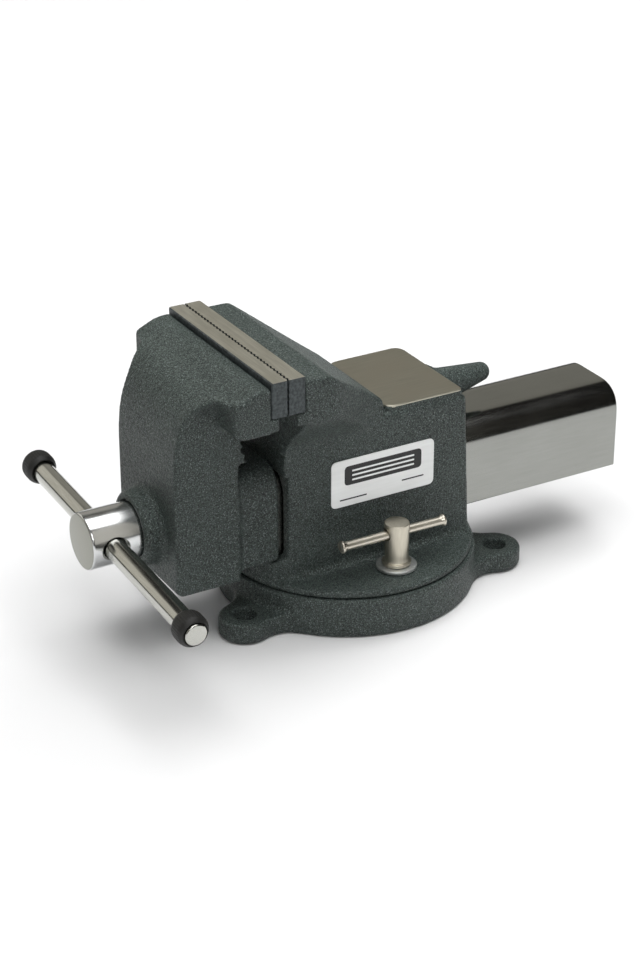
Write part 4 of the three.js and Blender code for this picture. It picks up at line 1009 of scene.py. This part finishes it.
def lock(side, name):
    """A washer, a lock screw with its cross eye, and the bar through it."""
    x = side * LOCK_X
    lo, hi = place("lock_washer_" + name)
    disc = softened([(LOCK_HOLE, lo[2]), (WASHER_RADIUS, lo[2]), (WASHER_RADIUS, hi[2]), (LOCK_HOLE, hi[2])],
                    0.5, 3)
    washer = turned("washer_" + name, disc, at_mm(x, LOCK_Y, 0, ALONG_Z), 64)
    dress(sharpen(washer, 50), zinc, "zinc", "body", "lock_washer_" + name)

    screw_lo, _ = place("lock_screw_" + name)
    foot = hi[2] + FIT
    shape = softened([(0, screw_lo[2]), (3.6, screw_lo[2]), (LOCK_SCREW_RADIUS, screw_lo[2] + 1),
                      (LOCK_SCREW_RADIUS, foot), (LOCK_COLLAR_RADIUS, foot),
                      (LOCK_COLLAR_RADIUS, foot + LOCK_COLLAR_HEIGHT), (5.7, foot + 1.7), (5.6, foot + 3.5),
                      (LOCK_HEAD_RADIUS, LOCK_TOP - 2.2), (5.9, LOCK_TOP), (0, LOCK_TOP)], 0.5, 4)
    screw = turned("screw_" + name, shape, at_mm(x, LOCK_Y, 0, ALONG_Z), 72)
    eye = turned("cutter", [(0, -12), (5.6, -12), (LOCK_EYE, -5.3), (LOCK_EYE, 5.3), (5.6, 12), (0, 12)],
                 at_mm(x, LOCK_Y, LOCK_BAR_Z, ALONG_Y), 48)
    carve(screw, eye)
    dress(sharpen(screw, 45), nickel, "nickel", "lock_" + name, "lock_screw_" + name)

    half = LOCK_BAR_HALF
    stick = softened([(0, -half), (2.9, -half), (LOCK_BAR_END, 0.8 - half), (LOCK_BAR_RADIUS, 2.4 - half),
                      (LOCK_BAR_RADIUS, half - 2.4), (LOCK_BAR_END, half - 0.8), (2.9, half), (0, half)],
                     0.6, 4)
    handle = turned("lock_handle_" + name, stick, at_mm(x, LOCK_Y + LOCK_BAR_SHIFT, LOCK_BAR_Z, ALONG_Y), 40)
    dress(sharpen(handle, 50), nickel_bar, "nickel", "lock_handle_" + name, "lock_bar_" + name)


lock(-1, "left")
lock(1, "right")

# ---- label ----


def label_sheet(name, y0, y1, z0, z1, corner, x0, x1, look, *nodes):
    """A thin rounded sheet on the body's right wall, from x0 out to x1."""
    outline = rounded([(y0, z0, corner), (y1, z0, corner), (y1, z1, corner), (y0, z1, corner)], 6)
    piece = extruded(name, outline, x0, x1, ALONG_X, min(0.15, (x1 - x0) * 0.4))
    return dress(piece, look, "foil", "body", *nodes)


y0, y1 = LABEL_LO[1], LABEL_HI[1]
z0, z1 = LABEL_LO[2], LABEL_HI[2]
face = LABEL_HI[0] - 0.16
label_sheet("label_face", y0, y1, z0, z1, 3, LABEL_LO[0], face, foil, "label_plate")
STRIPE_INSET = 11
STRIPE_PITCH = 2.3
STRIPE_HEIGHT = 0.9
label_sheet("label_band", y0 + 7, y1 - 7, z1 - 13.2, z1 - 3.4, 2.2, face - 0.05, face + 0.06, ink)
for i in range(3):
    z = z1 - 11.2 + i * STRIPE_PITCH
    label_sheet("label_stripe_%d" % i, y0 + STRIPE_INSET, y1 - STRIPE_INSET, z, z + STRIPE_HEIGHT, 0.4,
                face + 0.02, face + 0.12, foil)
for i, (a, b) in enumerate(((4.5, 19), (38, 50))):
    z = z0 + 3.2 + 2.4 * i
    label_sheet("label_rule_%d" % i, y0 + a, y0 + b, z, z + 0.7, 0.3, face - 0.05, face + 0.05, ink)

# ---- CAD parts that keep their shape ----


def finish_node(node, look):
    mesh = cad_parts[node].data
    if not mesh.materials:
        mesh.materials.append(look)
    for i in range(len(mesh.materials)):
        mesh.materials[i] = look


for node in ("static_plate_screw_left", "static_plate_screw_right", "moving_plate_screw_left",
             "moving_plate_screw_right", "slide_bar_pin_front", "slide_bar_pin_rear", "spindle_collar",
             "collar_pin", "lead_nut_bolt", "clamp_nut_left", "clamp_nut_right"):
    finish_node(node, dark_steel)
finish_node("thrust_washer", zinc)
finish_node("lead_nut", iron)

# ---- floor, light and backdrop ----

FLOOR_SOLID = 1.2  # metres; the floor fades into the backdrop from here
FLOOR_GONE = 2.0

HALF_FLOOR = 6000
floor_corners = [(-HALF_FLOOR, -HALF_FLOOR, 0), (HALF_FLOOR, -HALF_FLOOR, 0),
                 (HALF_FLOOR, HALF_FLOOR, 0), (-HALF_FLOOR, HALF_FLOOR, 0)]
floor_mesh = mesh_of("floor", floor_corners, [(0, 1, 2, 3)])
floor = new_object("floor", floor_mesh)
floor_look = Look("floor")
tint = floor_look.blend(floor_look.noise(3, 2.0), (0.73, 0.73, 0.73), (0.75, 0.75, 0.75))
distance = floor_look.add("ShaderNodeVectorMath", operation="LENGTH", Vector=floor_look.coords)
fade = floor_look.ramp(distance.outputs["Value"], FLOOR_SOLID, FLOOR_GONE, 1.0, 0.0)
floor.data.materials.append(floor_look.surface(Base_Color=tint, Roughness=0.9, Alpha=fade))
floor.location.z = -0.0004


def softbox(name, position, target, size, power):
    """A rectangular area light at position, facing target."""
    light = bpy.data.lights.new(name, "AREA")
    light.shape = "RECTANGLE"
    light.size, light.size_y = size
    light.energy = power
    lamp = new_object(name, light)
    lamp.location = position
    lamp.rotation_euler = (Vector(target) - Vector(position)).to_track_quat("-Z", "Y").to_euler()
    return lamp


CENTRE = (0, 0, 0.06)
softbox("overhead", (0.05, 0.11, 2.25), (0.05, 0.11, 0), (1.9, 2.02), 30)
softbox("right", (1.9, -0.8, 1.5), CENTRE, (1.1, 1.1), 14)
fill = softbox("fill", (0, 0.3, 4.0), (0, 0.3, 0), (5.0, 5.0), 125)
backdrop = softbox("backdrop", (-1.2, 3.2, 3.0), (-1.6, 3.4, 0), (5.0, 2.5), 150)
for lamp in (fill, backdrop):
    lamp.visible_glossy = False
    lamp.visible_camera = False

world = bpy.data.worlds.new("studio")
bpy.context.scene.world = world
world.use_nodes = True
sky = world.node_tree


def sky_math(operation, a, b):
    node = sky.nodes.new("ShaderNodeMath")
    node.operation = operation
    for socket, value in zip(node.inputs, (a, b)):
        if isinstance(value, bpy.types.NodeSocket):
            sky.links.new(value, socket)
        else:
            socket.default_value = value
    return node.outputs[0]


def between(value, low, high, soft):
    """1 where value lies from low to high, falling off over soft."""
    node_up = sky.nodes.new("ShaderNodeMapRange")
    node_down = sky.nodes.new("ShaderNodeMapRange")
    for node, start, end in ((node_up, low - soft, low), (node_down, high + soft, high)):
        sky.links.new(value, node.inputs["Value"])
        node.inputs["From Min"].default_value = start
        node.inputs["From Max"].default_value = end
    return sky_math("MULTIPLY", node_up.outputs[0], node_down.outputs[0])


def card(east_span, north_span, up_span, brightness):
    """A card of light that fills a span of directions."""
    share = between(east, *east_span, CARD_EDGE)
    share = sky_math("MULTIPLY", share, between(north, *north_span, CARD_EDGE))
    share = sky_math("MULTIPLY", share, between(up, *up_span, CARD_EDGE))
    return sky_math("MULTIPLY", share, brightness)


CARD_EDGE = 0.06  # each card fades out over this
REFLECTED_GROUND = 0.012  # brightness between the cards
# what reflections see, as spans of direction to the east, the north and up, and a brightness
CARDS = (((-1.0, -0.52), (0.08, 1.0), (0.15, 0.60), 0.34),
         ((-1.0, -0.55), (-1.0, 0.02), (0.13, 0.66), 0.72),
         ((0.15, 1.0), (0.20, 0.41), (0.12, 0.80), 0.60),
         ((-0.62, 0.1), (0.20, 0.41), (0.66, 0.95), 0.12),
         ((-0.5, 1.0), (-1.0, -0.3), (0.15, 0.7), 0.30))

way = sky.nodes.new("ShaderNodeSeparateXYZ")
sky.links.new(sky.nodes.new("ShaderNodeTexCoord").outputs["Generated"], way.inputs[0])
east, north, up = way.outputs
level = REFLECTED_GROUND
for spans in CARDS:
    level = sky_math("ADD", level, card(*spans))
rays = sky.nodes.new("ShaderNodeLightPath").outputs
studio = sky.nodes["Background"]
studio.inputs[0].default_value = (1.0, 0.965, 0.87, 1)
sky.links.new(level, studio.inputs[1])
dim = sky.nodes.new("ShaderNodeBackground")
dim.inputs[0].default_value = (0.05, 0.052, 0.054, 1)
seen = sky.nodes.new("ShaderNodeBackground")
seen.inputs[0].default_value = (0.96, 0.96, 0.96, 1)
shade = dim.outputs[0]
for ray, light in (("Is Glossy Ray", studio), ("Is Camera Ray", seen)):
    mix = sky.nodes.new("ShaderNodeMixShader")
    sky.links.new(rays[ray], mix.inputs[0])
    sky.links.new(shade, mix.inputs[1])
    sky.links.new(light.outputs[0], mix.inputs[2])
    shade = mix.outputs[0]
sky.links.new(shade, sky.nodes["World Output"].inputs[0])

bpy.context.scene.view_settings.view_transform = "Standard"
